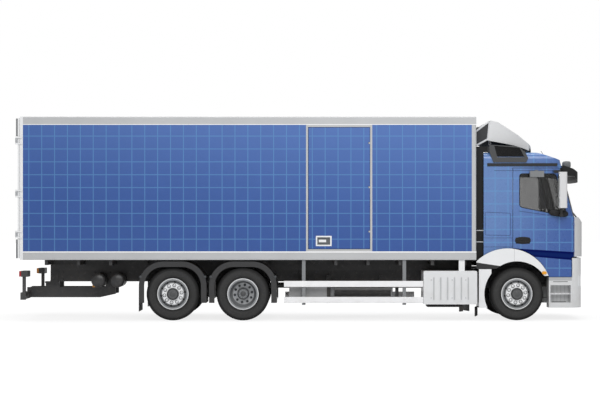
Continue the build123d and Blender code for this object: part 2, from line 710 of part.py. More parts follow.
def coupling_frame():
    """Lowered frame for a drawbar coupling, the underrun bar behind it and the posts of the rear lamps."""
    foot, top = COUPLING_Z
    rear = BODY_REAR_X - COUPLING_OUT
    front = TAG_X - COUPLING_BACK
    inner, outer = COUPLING_Y
    side = [(rear, foot), (front - 304, foot), (front, foot + 67), (front, foot + 259),
            (front - 177, foot + 259), (front - 217, top), (rear, top)]
    hangers = ((RAIL_REAR_X - 111, RAIL_REAR_X + 161, top), (front - 177, front, top + 48))
    # columns of the hangers: rear end, front end, foot
    pieces = []
    for sign in (1, -1):
        y = sorted((sign * inner, sign * outer))
        pieces.append(along_y(outline(side), *y))
        for low, high, hanger_foot in hangers:
            pieces.append(span((low, high), y, (hanger_foot, RAIL_Z)))
            ear = sorted((sign * inner, sign * RAIL_OUTER_Y))
            pieces.append(span((low, high), ear, (RAIL_Z - 30, RAIL_Z)))
        bar_end = sorted((sign * outer, sign * (BODY_Y - 90)))
        pieces.append(span((rear + 10, rear + 64), bar_end, (foot - 11, foot + UNDERRUN_H)))
        post_y = sorted((sign * (BODY_Y - 150), sign * (BODY_Y - 90)))
        pieces.append(span((rear + 50, rear + 110), post_y, (foot - 11, REAR_LAMP_Z[0])))
        head_y = sorted((sign * (BODY_Y - 380), sign * (BODY_Y - 60)))
        head_z = (REAR_LAMP_Z[0] - 5, REAR_LAMP_Z[1] + 5)
        pieces.append(span((rear + REAR_LAMP_T, rear + 156), head_y, head_z))
    pieces.append(span((PLATE_X, PLATE_X + PLATE_T), (-inner, inner), COUPLING_Z))
    pieces.append(span((front - 617, front - 527), (-inner, inner), (foot + 40, top - 40)))
    holes = [bar_x(y, PLATE_Z + z, BOLT_HOLE_R, PLATE_X - 5, PLATE_X + PLATE_T + 5)
             for y in (-BOLT_SPACING_Y / 2, BOLT_SPACING_Y / 2)
             for z in (-BOLT_SPACING_Z / 2, BOLT_SPACING_Z / 2)]
    return joined(pieces) - holes


# Load body

def box_floor():
    """Floor slab between the bottom rails."""
    y = BODY_Y - WALL
    return span((BODY_REAR_X + REAR_POST, BODY_FRONT_X - WALL), (-y, y), (BODY_Z, BODY_Z + FLOOR_T))


def side_frame_hole(depth_out, depth_in):
    """Opening for the side door on the left, widening outwards at its hinged edge."""
    gap = PANEL_GAP
    x = (SIDE_DOOR_X - gap, SIDE_DOOR_FRONT + gap)
    z = (SIDE_DOOR_Z - gap, SIDE_DOOR_TOP + gap)
    return slanted(x, z, depth_out, depth_in)


def slanted(x, z, y_out, y_in):
    """Block whose front face leans back 45 degrees inwards from the outer wall surface."""
    lean_out = y_out - BODY_Y
    lean_in = BODY_Y - y_in
    plan = [(x[0], y_out), (x[1] + lean_out, y_out), (x[1] - lean_in, y_in), (x[0], y_in)]
    return along_z(outline(plan), *z)


def hinge_lugs(x, y, heights, hand):
    """Fixed half of a set of hinges: lugs with their pins, reaching towards hand * X."""
    pieces = []
    for z in heights:
        pieces.append(bar_z(x, y, HINGE_KNUCKLE_R, z, z + HINGE_KNUCKLE_H))
        pieces.append(span(sorted((x, x + hand * 45)), (y - 8, y + 8), (z, z + HINGE_KNUCKLE_H)))
        pieces.append(bar_z(x, y, HINGE_PIN_R, z - HINGE_KNUCKLE_H, z + HINGE_KNUCKLE_H))
    return pieces


def hinge_knuckles(x, y, heights, hand):
    """Moving half of a set of hinges: knuckles, not yet bored, reaching towards hand * X."""
    pieces = []
    for z in heights:
        low, high = z - HINGE_KNUCKLE_H, z - FIT
        pieces.append(bar_z(x, y, HINGE_KNUCKLE_R, low, high))
        pieces.append(span(sorted((x, x + hand * 45)), (y - 8, y + 8), (low, high)))
    return pieces


def hinge_bores(x, y, heights):
    """Bores of the knuckles for the pins."""
    return [bar_z(x, y, HINGE_PIN_R + FIT, z - HINGE_KNUCKLE_H - 5, z) for z in heights]


def hinge_pockets(x, y, heights):
    """Room in a leaf round the fixed lugs."""
    room = HINGE_SWEEP_R + HINGE_CLEARANCE / 2
    return [bar_z(x, y, room, z - FIT, z + HINGE_KNUCKLE_H + HINGE_CLEARANCE) for z in heights]


def hinge_relief(x, y, low, high):
    """Hollow along a frame in which the front edge of the leaf swings."""
    return bar_z(x, y, HINGE_SWEEP_R + HINGE_CLEARANCE, low, high)


def side_hinge_place():
    """X and Y of the side door's hinge axis, for a door on the left."""
    return SIDE_DOOR_FRONT - HINGE_SET, BODY_Y - HINGE_DEPTH


def box_walls():
    """Left wall, front wall and the right wall in two lengths beside its door frame."""
    x = (BODY_REAR_X + REAR_POST, BODY_FRONT_X - CORNER_POST)
    z = (BODY_Z + EDGE_RAIL_H, BODY_TOP - TOP_RAIL_H)
    y = (BODY_Y - WALL, BODY_Y)
    right = (-BODY_Y, WALL - BODY_Y)
    frame_x = (SIDE_DOOR_X - PANEL_GAP - SIDE_FRAME_W, SIDE_DOOR_FRONT + PANEL_GAP + SIDE_FRAME_W)
    front = span((BODY_FRONT_X - WALL, BODY_FRONT_X), (WALL - BODY_Y, BODY_Y - WALL), z)
    return [span(x, y, z), span((x[0], frame_x[0]), right, z), span((frame_x[1], x[1]), right, z), front]


def box_roof():
    """Roof slab between the top rails."""
    y = BODY_Y - WALL
    return span((BODY_REAR_X + REAR_POST, BODY_FRONT_X - WALL), (-y, y), (BODY_TOP - ROOF_T, BODY_TOP))


def edge_rail(z, rounded_top):
    """One long edge rail of the left side."""
    y = (BODY_Y - WALL, BODY_Y)
    radius = 25
    corners = [(y[0], z[0]), (y[1], z[0]), (y[1], z[1]), (y[0], z[1])]
    radii = (0, 0, radius, 0) if rounded_top else (0, radius / 2, 0, 0)
    return along_x(outline(corners, radii), BODY_REAR_X + REAR_POST, BODY_FRONT_X)


def box_rails():
    """Edge rails, front corner posts, front cross rails and the frame of the side door."""
    z = (BODY_Z + EDGE_RAIL_H, BODY_TOP - TOP_RAIL_H)
    pieces = []
    for rail_z, top in (((BODY_Z, z[0]), False), ((z[1], BODY_TOP), True)):
        pieces += both_sides(edge_rail(rail_z, top))
        inner = BODY_Y - WALL
        pieces.append(span((BODY_FRONT_X - WALL, BODY_FRONT_X), (-inner, inner), rail_z))
    rear = BODY_FRONT_X - CORNER_POST
    post = [(rear, BODY_Y - WALL), (BODY_FRONT_X, BODY_Y - WALL), (BODY_FRONT_X, BODY_Y), (rear, BODY_Y)]
    pieces += both_sides(along_z(outline(post, (0, 0, 30, 0)), *z))
    return [joined(pieces), side_door_frame(z)]


def side_door_frame(z):
    """Frame round the side door in the right wall, with the fixed halves of its hinges."""
    x = (SIDE_DOOR_X - PANEL_GAP - SIDE_FRAME_W, SIDE_DOOR_FRONT + PANEL_GAP + SIDE_FRAME_W)
    frame = span(x, (BODY_Y - WALL, BODY_Y), z) - side_frame_hole(BODY_Y + 40, BODY_Y - WALL - 40)
    place = side_hinge_place()
    frame -= hinge_relief(*place, SIDE_DOOR_Z - PANEL_GAP, SIDE_DOOR_TOP + PANEL_GAP)
    return flipped(joined([frame, *hinge_lugs(*place, SIDE_HINGE_HEIGHTS, 1)]))


def side_door():
    """Leaf of the side door, with its knuckles and the recessed plate of its latch."""
    leaf = slanted((SIDE_DOOR_X, SIDE_DOOR_FRONT), (SIDE_DOOR_Z, SIDE_DOOR_TOP), BODY_Y, BODY_Y - WALL)
    place = side_hinge_place()
    leaf -= hinge_pockets(*place, SIDE_HINGE_HEIGHTS)
    low, high = SIDE_DOOR_X + LATCH_X[0], SIDE_DOOR_X + LATCH_X[1]
    foot, top = SIDE_DOOR_Z + LATCH_Z[0], SIDE_DOOR_Z + LATCH_Z[1]
    side, over = LATCH_RIM
    recess = span((low, high), (BODY_Y - LATCH_DEPTH, BODY_Y + 10), (foot, top))
    rim = span((low - side, high + side), (BODY_Y, BODY_Y + 6), (foot - over, top + over)) - recess
    lever = span((low + 30, low + 170), (BODY_Y - LATCH_DEPTH, BODY_Y - 4), (foot + 48, foot + 98))
    leaf = joined([leaf - recess, *hinge_knuckles(*place, SIDE_HINGE_HEIGHTS, -1), rim, lever])
    return flipped(leaf - hinge_bores(*place, SIDE_HINGE_HEIGHTS))


def rear_frame():
    """Frame round the rear opening, with the fixed lugs and pins of the rear hinges."""
    x = (BODY_REAR_X, BODY_REAR_X + REAR_POST)
    outer = span(x, (-BODY_Y, BODY_Y), (BODY_Z, BODY_TOP))
    y = BODY_Y - REAR_POST_W
    frame = outer - span((x[0] - 1, x[1] + 1), (-y, y), (BODY_Z + FLOOR_T, BODY_TOP - REAR_HEADER_H))
    lugs = []
    for z in REAR_HINGE_HEIGHTS:
        for low in (z - REAR_LUG_REACH, z + REAR_LUG_REACH - REAR_LUG_H):
            lug_z = (low, low + REAR_LUG_H)
            lugs.append(span((REAR_HINGE_X, x[1] - 10), (BODY_Y, REAR_HINGE_Y + 8), lug_z))
            lugs.append(bar_z(REAR_HINGE_X, REAR_HINGE_Y, REAR_PIN_R + 4, *lug_z))
        lugs.append(bar_z(REAR_HINGE_X, REAR_HINGE_Y, REAR_PIN_R, z - REAR_LUG_REACH, z + REAR_LUG_REACH))
    return joined([frame, *both_sides(joined(lugs))])


def rear_door():
    """Left leaf of the rear doors."""
    edge = 4
    z = (BODY_Z + 30, BODY_TOP - 30)
    return span((REAR_DOOR_OUT_X, REAR_DOOR_IN_X), (PANEL_GAP / 2, BODY_Y - edge), z)


def rear_fittings():
    """On the left rear door: hinge straps, corner buffers, and two locking rods in their guides."""
    out = REAR_DOOR_OUT_X
    half = REAR_LUG_REACH - REAR_LUG_H - 3
    solids = []
    for z in REAR_HINGE_HEIGHTS:
        strap = span((out - 8, out), (BODY_Y - 230, BODY_Y - 6), (z - half, z + half))
        arm = [(out, BODY_Y - 40), (out, BODY_Y - 8), (REAR_HINGE_X + 12, REAR_HINGE_Y + 10),
               (REAR_HINGE_X - 10, REAR_HINGE_Y + 2), (out - 8, BODY_Y - 40)]
        ring = bar_z(REAR_HINGE_X, REAR_HINGE_Y, REAR_PIN_R + 6, z - half, z + half)
        hinge = joined([strap, along_z(outline(arm), z - half, z + half), ring])
        solids.append(hinge - bar_z(REAR_HINGE_X, REAR_HINGE_Y, REAR_PIN_R + FIT, z - 50, z + 50))
    low, high = REAR_HINGE_HEIGHTS[0] - BUFFER_CLEAR[0], REAR_HINGE_HEIGHTS[-1] + BUFFER_CLEAR[1]
    buffers = ((BODY_Z + 30, low), (high, BODY_TOP - 35))
    for buffer_z in buffers:
        solids.append(span((out - BUFFER_T, out), (BODY_Y - 130, BODY_Y - 30), buffer_z))
    rod_x = out - LOCK_ROD_R - 5
    guides = (BODY_Z + 130, BODY_Z + 730, BODY_TOP - 1025, BODY_TOP - 130)
    for y in LOCK_ROD_Y:
        pieces = [bar_z(rod_x, y, LOCK_ROD_R, BODY_Z + 40, BODY_TOP - 40)]
        for z in guides:
            pieces.append(span((rod_x - 6, out), (y - 32, y + 32), (z - 25, z + 25)))
        grip_z = BODY_Z + LOCK_GRIP_UP
        pieces.append(span((rod_x - 10, rod_x + 4), (y, y + 260), (grip_z, grip_z + 35)))
        pieces.append(span((rod_x, out), (y + 215, y + 255), (grip_z - 15, grip_z + 50)))
        solids.append(joined(pieces))
    return solids


# Cab

def cab_plan(front, inset, corner, crown, flat):
    """Plan outline of the cab: straight sides, rounded front corners and a crowned front."""
    y = CAB_Y - inset
    x = front - inset
    rear = CAB_REAR_X + inset
    points = [(rear, -y), (x - crown, -y), (x, -flat), (x, flat), (x - crown, y), (rear, y)]
    return outline(points, (0, corner - inset, 3000, 3000, corner - inset, 0))


def cab_solid(inset):
    """Whole outer form of the cab, drawn in by an inset: an upright nose below a leaning upper half."""
    lean = Vector(SCREEN_TOP_X - SCREEN_FOOT_X, 0, SCREEN_TOP_Z - WAIST_Z)
    waist = WAIST_Z - inset
    roof = CAB_ROOF_Z - inset
    rear = CAB_REAR_X + inset
    nose = CAB_NOSE_X - inset
    y = CAB_Y - inset
    nose_side = [(rear, DOOR_FOOT_Z), (rear, waist), (nose - 150, waist), (nose + 5, waist - 195),
                 (nose + 5, DOOR_FOOT_Z)]
    lower = along_z(cab_plan(CAB_NOSE_X, inset, 250, 90, 480), DOOR_FOOT_Z - 50, waist)
    lower &= along_y(outline(nose_side, (0, 0, 60, 200, 0)), -CAB_Y, CAB_Y)
    foot = Pos(0, 0, waist) * cab_plan(SCREEN_FOOT_X, inset, 150, 60, 600)
    rise = roof - waist + 100
    upper = extrude(foot, amount=rise * lean.length / lean.Z, dir=lean.normalized())
    roof_side = [(rear, waist), (rear, roof), (4560, roof), (5010 - inset, 3090 - inset),
                 (5394 - inset, 2700 - inset), (5394 - inset, waist)]
    upper &= along_y(outline(roof_side, (0, 40, 600, 60, 0, 0)), -CAB_Y, CAB_Y)
    hoop = outline([(-y, waist), (y, waist), (y, roof), (-y, roof)], (0, 0, 130 - inset, 130 - inset))
    upper &= along_x(hoop, CAB_REAR_X, CAB_NOSE_X)
    return lower + upper


def arch_disc(extra):
    """Disc of the wheel arch's outer edge, right across the cab."""
    return bar_y(ARCH_X, ARCH_Z, ARCH_R + extra, -CAB_Y - 50, CAB_Y + 50)


def door_block(grow):
    """Room of the left door, leaning back at its hinged edge, or its opening when grown."""
    rear = DOOR_REAR_X - grow
    top, foot = DOOR_TOP_Z + grow, DOOR_FOOT_Z - grow
    reach = 120
    sections = []
    for y, lean in ((CAB_Y + 20, 20), (CAB_Y - reach, -reach)):
        out = grow + lean
        points = [(rear, top), (DOOR_TOP_FRONT_X + out, top), (DOOR_FRONT_X + out, DOOR_SHOULDER_Z + grow),
                  (DOOR_FRONT_X + out, CAB_FLOOR_Z + 15 - grow),
                  (DOOR_FOOT_FRONT_X + out, CAB_FLOOR_Z - 18 - grow), (DOOR_FOOT_FRONT_X + out, foot),
                  (rear, foot)]
        sections.append(make_face(Polyline(*[(x, y, z) for x, z in points], close=True)))
    return loft(sections, ruled=True)


def window_block(grow):
    """Opening of the left door's window."""
    face = offset(outline(WINDOW, WINDOW_R), amount=grow) if grow else outline(WINDOW, WINDOW_R)
    return along_y(face, CAB_Y - 200, CAB_Y + 50)


def screen_block(grow):
    """Opening of the windscreen, seen from the front."""
    foot, top = (1010 + grow, WAIST_Z + 32 - grow), (955 + grow, SCREEN_TOP_Z - 30 + grow)
    points = [(-foot[0], foot[1]), foot, top, (-top[0], top[1])]
    return along_x(outline(points, 70), SCREEN_TOP_X - 330, CAB_NOSE_X + 20)


def cab_hinge_place():
    """X and Y of the left door's hinge axis."""
    return DOOR_FRONT_X - HINGE_SET, CAB_Y - HINGE_DEPTH


def grille_block(inset):
    """Room of the grille in the nose of the cab."""
    y = GRILLE_W / 2 - inset
    return span((CAB_NOSE_X - GRILLE_T, CAB_NOSE_X + 20), (-y, y), (GRILLE_Z[0] + inset, GRILLE_Z[1] - inset))


def cab_panels(shell):
    """Roof, back and front of the cab, cut from its shell."""
    openings = [door_block(PANEL_GAP), flipped(door_block(PANEL_GAP))]
    walls = shell - openings - arch_disc(FIT) - screen_block(0)
    x = (CAB_REAR_X - 10, CAB_NOSE_X + 60)
    y = (-CAB_Y - 10, CAB_Y + 10)
    above = span(x, y, (ROOF_SPLIT_Z, CAB_ROOF_Z + 10))
    below = span(x, y, (CAB_FLOOR_Z, ROOF_SPLIT_Z))
    behind = span((x[0], DOOR_REAR_X), y, (CAB_FLOOR_Z, ROOF_SPLIT_Z))
    roof = walls & above
    back = walls & behind
    front = (walls & below) - behind - grille_block(0)
    place = cab_hinge_place()
    for side in (lambda shape: shape, flipped):
        front -= side(hinge_relief(*place, CAB_FLOOR_Z - PANEL_GAP, DOOR_SHOULDER_Z + RELIEF_OVER_SHOULDER))
        front += [side(lug) for lug in hinge_lugs(*place, CAB_HINGE_HEIGHTS, 1)]
    return roof, back, front


def cab_floor():
    """Floor pan of the cab, with the two arms that carry it on the tilt pins."""
    z = (CAB_FLOOR_Z, CAB_FLOOR_Z + CAB_FLOOR_T)
    door_y = CAB_Y - CAB_WALL - PANEL_GAP
    pan = span((CAB_REAR_X, DOOR_REAR_X - PANEL_GAP), (-CAB_Y, CAB_Y), z)
    pan += span((DOOR_REAR_X - PANEL_GAP, CAB_NOSE_X), (-door_y, door_y), z)
    pieces = [pan & cab_solid(CAB_WALL + FIT)]
    arm = [(TILT_X - TILT_EYE_R, TILT_Z), (TILT_X, TILT_Z), (TILT_X, z[0] + 10), (TILT_X - 300, z[0] + 10),
           (TILT_X - 300, z[0])]
    for sign in (1, -1):
        arm_y = sorted((sign * (TILT_ARM_Y - 15), sign * (TILT_ARM_Y + 25)))
        pieces.append(along_y(outline(arm), *arm_y))
        pieces.append(bar_y(TILT_X, TILT_Z, TILT_EYE_R, *arm_y))
    return joined(pieces) - bar_y(TILT_X, TILT_Z, TILT_PIN_R + FIT, -CAB_Y, CAB_Y)


def wheel_arch():
    """Left wheel arch of the cab: outer cheek, tunnel over the wheel and the lip along the cab side."""
    out = CAB_Y + ARCH_OUT
    edge = Pos(ARCH_X, ARCH_Z) * Circle(ARCH_R)
    lip = edge - Pos(ARCH_X, ARCH_Z) * Circle(ARCH_R - ARCH_SKIN)
    opening = Pos(FRONT_AXLE_X, TYRE_R) * Circle(ARCH_INNER_R)
    cheek = along_y(edge - opening, out - ARCH_SKIN, out)
    side = along_y(lip, CAB_Y - CAB_WALL, out)
    tunnel = along_y(arch_ring(ARCH_INNER_R, ARCH_INNER_R + ARCH_SKIN), TUNNEL_INNER_Y, out)
    crown = TYRE_R + ARCH_INNER_R
    ribs = [span((x - 15, x + 15), (TUNNEL_INNER_Y + 20, CAB_Y - 90), (crown - 60, CAB_FLOOR_Z))
            for x in (FRONT_AXLE_X - 150, FRONT_AXLE_X + 150)]
    room = bar_y(FRONT_AXLE_X, TYRE_R, ARCH_INNER_R, 0, CAB_Y + 100)
    front = FRONT_AXLE_X + ARCH_R
    step = STEP_TOP_Z + 29
    foot = [(ARCH_REAR_X, ARCH_REAR_Z), (FRONT_AXLE_X, ARCH_REAR_Z), (FRONT_AXLE_X, step), (front, step),
            (front, 2 * ARCH_R), (ARCH_REAR_X, 2 * ARCH_R)]
    keep = along_y(outline(foot), TUNNEL_INNER_Y, out)
    return (joined([cheek, side, tunnel, *ribs]) - room) & keep


def sun_visor(grown_cab):
    """Visor over the windscreen, and the drip rails along the roof."""
    shade = along_y(outline(VISOR_SIDE), -VISOR_Y, VISOR_Y)
    plan = cab_plan(CAB_NOSE_X, 60, 300, 110, 480)
    shade = (shade & along_z(plan, WAIST_Z, CAB_ROOF_Z)) - grown_cab
    rail = span(DRIP_RAIL_X, (CAB_Y, CAB_Y + 14), DRIP_RAIL_Z)
    return [max(shade.solids(), key=lambda solid: solid.volume), *both_sides(rail)]


def roof_deflector():
    """Air deflector on the roof: a shell open at the back and below, on a rear hoop and front feet."""
    half = DEFLECTOR_Y
    skin = 25
    rear, nose = DEFLECTOR_SIDE[0][0], max(x for x, _ in DEFLECTOR_SIDE)
    low, top = CAB_ROOF_Z - 40, max(z for _, z in DEFLECTOR_SIDE) + 30
    outer = along_y(outline(DEFLECTOR_SIDE), -half, half)
    outer &= along_z(cab_plan(nose, 0, 300, 120, 420), low, top)
    inner = along_y(Pos(-skin, -skin * 1.6) * outline(DEFLECTOR_SIDE), skin - half, half - skin)
    hollow = inner + Pos(-60, 0, -60) * inner + Pos(0, 0, -120) * inner
    shell = max((outer - hollow).solids(), key=lambda solid: solid.volume)
    hoop_x = (rear + 50, rear + 100)
    hoop_top = top - 55
    pieces = [shell, span(hoop_x, (-HOOP_Y, HOOP_Y), (hoop_top - 42, hoop_top))]
    for sign in (1, -1):
        post_y = sorted((sign * (HOOP_Y - 40), sign * HOOP_Y))
        pieces.append(span(hoop_x, post_y, (CAB_ROOF_Z, hoop_top)))
        foot_y = sorted((sign * 560, sign * 620))
        pieces.append(span((nose - 148, nose - 88), foot_y, (CAB_ROOF_Z, CAB_ROOF_Z + 117)))
    return joined(pieces)


def air_intake(grown_cab):
    """Air intake on the right of the roof and the duct down behind the cab."""
    out = -CAB_Y - 22
    body = along_y(outline(INTAKE_FRAME), out, -900) - along_y(outline(INTAKE_MESH), out - 1, out + 30)
    duct_x = (BODY_FRONT_X + 20, CAB_REAR_X)
    duct_y = (-CAB_Y + 70, -CAB_Y + 230)
    top = max(z for _, z in INTAKE_MESH) - 10
    link = span((duct_x[0], INTAKE_FRAME[0][0] + 24), duct_y, (CAB_ROOF_Z + 10, top))
    duct = span(duct_x, duct_y, (BODY_Z - 20, top))
    return joined([body, link, duct]) - grown_cab


def grille(outer_cab):
    """Slats across the nose, joined by upright bars."""
    room = grille_block(FIT) & outer_cab
    y = GRILLE_W / 2
    rear = CAB_NOSE_X - GRILLE_T
    count = int((GRILLE_Z[1] - GRILLE_Z[0]) // SLAT_PITCH) + 1
    feet = [GRILLE_Z[0] + 5 + i * SLAT_PITCH for i in range(count)]
    slats = [span((rear, CAB_NOSE_X - 12), (-y, y), (foot, foot + SLAT_H)) for foot in feet]
    uprights = [span((rear, rear + 20), (place - 20, place + 20), GRILLE_Z)
                for place in (120 - y, 0, y - 120)]
    return room & joined(slats + uprights)


def dashboard():
    """Dashboard across the cab, the steering column and wheel on the left."""
    y = CAB_Y - CAB_WALL - 60
    panel = along_y(outline(DASH_SIDE), -y, y) & cab_solid(CAB_WALL + FIT)
    floor = CAB_FLOOR_Z + CAB_FLOOR_T
    stand = span((DASH_SIDE[0][0] + 60, DASH_SIDE[-1][0] - 30), (-250, 250), (floor, DASH_SIDE[0][1] + 20))
    hub = Plane(WHEEL_HUB, z_dir=WHEEL_LEAN)
    column = hub * Pos(0, 0, -150) * Cylinder(35, 300)
    inner, outer = WHEEL_RING_R - 17, WHEEL_RING_R + 17
    ring = [(inner, -10), (inner + 10, -17), (outer - 10, -17), (outer, -10), (outer, 10), (outer - 10, 17),
            (inner + 10, 17), (inner, 10)]
    rim = hub * Rot(-90, 0, 0) * turned(ring)
    spokes = [hub * Rot(0, 0, angle) * Pos(WHEEL_RING_R / 2, 0, 0) * Box(WHEEL_RING_R, 40, 14)
              for angle in (0, 120, 240)]
    return joined([panel, stand, column, rim, *spokes])


def seat(y):
    """One seat: base, cushion, back and head rest."""
    floor = CAB_FLOOR_Z + CAB_FLOOR_T
    base = span((SEAT_X + 30, SEAT_X + 490), (y - 190, y + 190), (floor, SEAT_Z))
    table = ((((0, 0), (550, 0), (550, 140), (0, 120)), 40, 240),
             (((-110, 20), (50, 20), (-30, 680), (-160, 680)), 40, 230),
             (((-160, 660), (-70, 660), (-90, 860), (-170, 860)), 30, 130))
    # columns: side outline from the seat's rear foot, corner radius, half width
    pads = []
    for points, radius, half in table:
        corners = [(SEAT_X + x, SEAT_Z + z) for x, z in points]
        pads.append(along_y(outline(corners, radius), y - half, y + half))
    return joined([base, *pads])


def door(shell):
    """Left door cut from the cab's shell, with its window and its knuckles."""
    place = cab_hinge_place()
    leaf = (shell & door_block(0)) - arch_disc(PANEL_GAP) - window_block(0)
    leaf -= hinge_pockets(*place, CAB_HINGE_HEIGHTS)
    leaf = max(leaf.solids(), key=lambda solid: solid.volume)
    low, high = HANDLE_X
    room = span((low + 14, high - 13), (CAB_Y - 25, CAB_Y + 5), (HANDLE_Z - 65, HANDLE_Z + 55))
    handle = span(HANDLE_X, (CAB_Y - 18, CAB_Y + 14), (HANDLE_Z - 25, HANDLE_Z + 25))
    leaf = joined([leaf - room, *hinge_knuckles(*place, CAB_HINGE_HEIGHTS, -1), handle])
    return leaf - hinge_bores(*place, CAB_HINGE_HEIGHTS)


def mirror_unit(kerb):
    """Left mirror: housing on two arms from the door. The right one also has a kerb mirror."""
    rear, front = MIRROR_X
    near, far = CAB_Y + 60, CAB_Y + 270
    low, top = MIRROR_Z
    housing = along_z(outline([(rear, near), (front, near), (front, far), (rear, far)], 45), low, top)
    lower = span((rear + 13, rear + 78), (CAB_Y, CAB_Y + 200), (low - 168, low - 118))
    lower += span((rear + 28, rear + 68), (CAB_Y + 140, CAB_Y + 190), (low - 168, low + 12))
    upper = span((rear - 92, rear - 32), (CAB_Y, CAB_Y + 180), (top + 3, top + 37))
    upper += span((rear - 92, rear + 38), (CAB_Y + 130, CAB_Y + 180), (top - 19, top + 37))
    pieces = [housing, lower, upper]
    if kerb:
        kerb_low, kerb_top = KERB_MIRROR_Z
        middle = KERB_MIRROR_X[0] + 136
        pieces.append(span(KERB_MIRROR_X, (CAB_Y + 40, CAB_Y + 160), KERB_MIRROR_Z))
        pieces.append(span((middle - 30, middle + 30), (CAB_Y, CAB_Y + 60), (kerb_top - 35, kerb_top + 20)))
    return joined(pieces)


def thin_cab():
    """Thin shell in the middle of the cab's wall, from which the glass is cut."""
    return cab_solid(GLASS_INSET) - cab_solid(GLASS_INSET + GLASS_T)


# Bumper, steps and lamps

def bumper_solid(inset):
    """Outer form of the bumper, drawn in by an inset."""
    return along_z(cab_plan(BUMPER_FRONT_X, inset, 250, 90, 480), BUMPER_Z, BUMPER_TOP_Z)


def lamp_room(inset):
    """Recess of the left headlamp in the corner of the bumper."""
    x = (LAMP_X + inset, BUMPER_FRONT_X + 10)
    return span(x, (LAMP_INNER_Y + inset, CAB_Y + 10), (LAMP_Z[0] + inset, LAMP_Z[1] - inset))


def front_bumper():
    """Bumper across the front with a step module at each side and rooms for the cab's tilt arms."""
    inner_x = BUMPER_FRONT_X - 110
    rear = BUMPER_REAR_X + 3
    across = (-CAB_Y - 10, CAB_Y + 10)
    hollow = bumper_solid(CAB_WALL) & span((CAB_REAR_X, inner_x), across, (BUMPER_Z, BUMPER_TOP_Z))
    wall = bumper_solid(0) - hollow
    wall &= span((rear, BUMPER_FRONT_X + 10), across, (BUMPER_Z, BUMPER_TOP_Z))
    top = BUMPER_TOP_Z + 1
    front = BUMPER_FRONT_X + 1
    edge = [(BUMPER_FRONT_X - BUMPER_CHAMFER, top), (front, BUMPER_TOP_Z - BUMPER_CHAMFER), (front, top)]
    wall -= along_y(outline(edge), *across)
    arm_room = span((inner_x - 10, TILT_X + TILT_EYE_R + 10), (-TILT_ARM_Y - 60, TILT_ARM_Y + 60),
                    (TILT_Z - 167, BUMPER_TOP_Z + 5))
    inner_y = CAB_Y - STEP_DEPTH
    step = span((STEP_REAR_X, rear), (inner_y, CAB_Y), (BUMPER_Z, STEP_TOP_Z))
    tread = (STEP_REAR_X + 30, BUMPER_REAR_X - 25)
    step -= span(tread, (inner_y + 110, CAB_Y + 5), STEP_ROOM_Z)
    step += span(tread, (inner_y + 110, CAB_Y - 40), STEP_PLATE_Z)
    bracket = span((RAIL_FRONT_X - 90, RAIL_FRONT_X + 60), (RAIL_OUTER_Y, inner_y),
                   (RAIL_Z + 20, STEP_TOP_Z - 30))
    tie = span((RAIL_FRONT_X, inner_x), (RAIL_INNER_Y, RAIL_OUTER_Y), (RAIL_Z + 20, RAIL_Z + 130))
    pieces = [wall - arm_room]
    for piece in (step, bracket, tie):
        pieces += both_sides(piece)
    return joined(pieces) - both_sides(lamp_room(0))


def lamps():
    """Headlamps, rear lamps on their posts and amber markers along the sides."""
    lens = lamp_room(FIT) & (bumper_solid(4) - bumper_solid(60))
    solids = both_sides(max(lens.solids(), key=lambda solid: solid.volume))
    front = BODY_REAR_X - COUPLING_OUT + REAR_LAMP_T
    solids += both_sides(span((front - 40, front), (BODY_Y - 375, BODY_Y - 65), REAR_LAMP_Z))
    x = TAG_X - COUPLING_BACK - 427
    top = COUPLING_Z[1]
    solids += both_sides(span((x - 28, x + 28), (COUPLING_Y[1] - 30, COUPLING_Y[1]), (top, top + 58)))
    return solids


def cab_lamps():
    """Amber repeaters on the wheel arches."""
    out = CAB_Y + ARCH_OUT
    repeater = along_y(Pos(*REPEATER) * SlotOverall(90, 60), out, out + 14)
    return both_sides(repeater)


def cab():
    """All pieces of the cab and its doors."""
    outer = cab_solid(0)
    shell = outer - cab_solid(CAB_WALL)
    grown = cab_solid(-FIT)
    roof, back, front = cab_panels(shell)
    write("cab_roof", roof)
    write("cab_back", back)
    write("cab_front", front)
    write("cab_floor", cab_floor())
    thin = thin_cab()
    ahead = span((SCREEN_TOP_X - 300, CAB_NOSE_X), (-CAB_Y, CAB_Y), (WAIST_Z - 50, ROOF_SPLIT_Z + 50))
    screen = thin & ahead & screen_block(-FIT)
    write("windscreen", max(screen.solids(), key=lambda solid: solid.volume))
    write("grille", grille(outer))
    write("wheel_arches", *both_sides(wheel_arch()))
    write("sun_visor", *sun_visor(grown))
    write("roof_deflector", roof_deflector())
    write("air_intake", air_intake(grown))
    write("cab_lamps", *cab_lamps())
    write("dashboard", dashboard())
    write("seats", seat(SEAT_Y), seat(-SEAT_Y))
    leaf = door(shell)
    beside = span((DOOR_REAR_X, CAB_NOSE_X), (CAB_Y - 100, CAB_Y), (WAIST_Z - 50, ROOF_SPLIT_Z))
    glass = thin & window_block(-FIT) & beside
    for side, place in (("left", lambda shape: shape), ("right", flipped)):
        write(f"{side}_door", place(leaf))
        write(f"{side}_door_glass", place(glass))
        write(f"{side}_mirror", place(mirror_unit(side == "right")))


def chassis():
    """All pieces fixed to the chassis."""
    write("chassis_frame", chassis_frame())
    write("subframe", subframe())
    write("front_axle", front_axle())
    write("rear_axles", *rear_axles())
    write("engine", engine())
    write("fuel_tank", fuel_tank())
    write("exhaust_box", exhaust_box())
    write("air_tanks", *air_tanks())
    write("battery_box", battery_box())
    write("side_guards", *side_guards())
    write("rear_mudguards", *rear_mudguards())
    write("front_mudguards", *both_sides(front_mudguard()))
    write("coupling_frame", coupling_frame())
    write("front_bumper", front_bumper())
    write("lamps", *lamps())


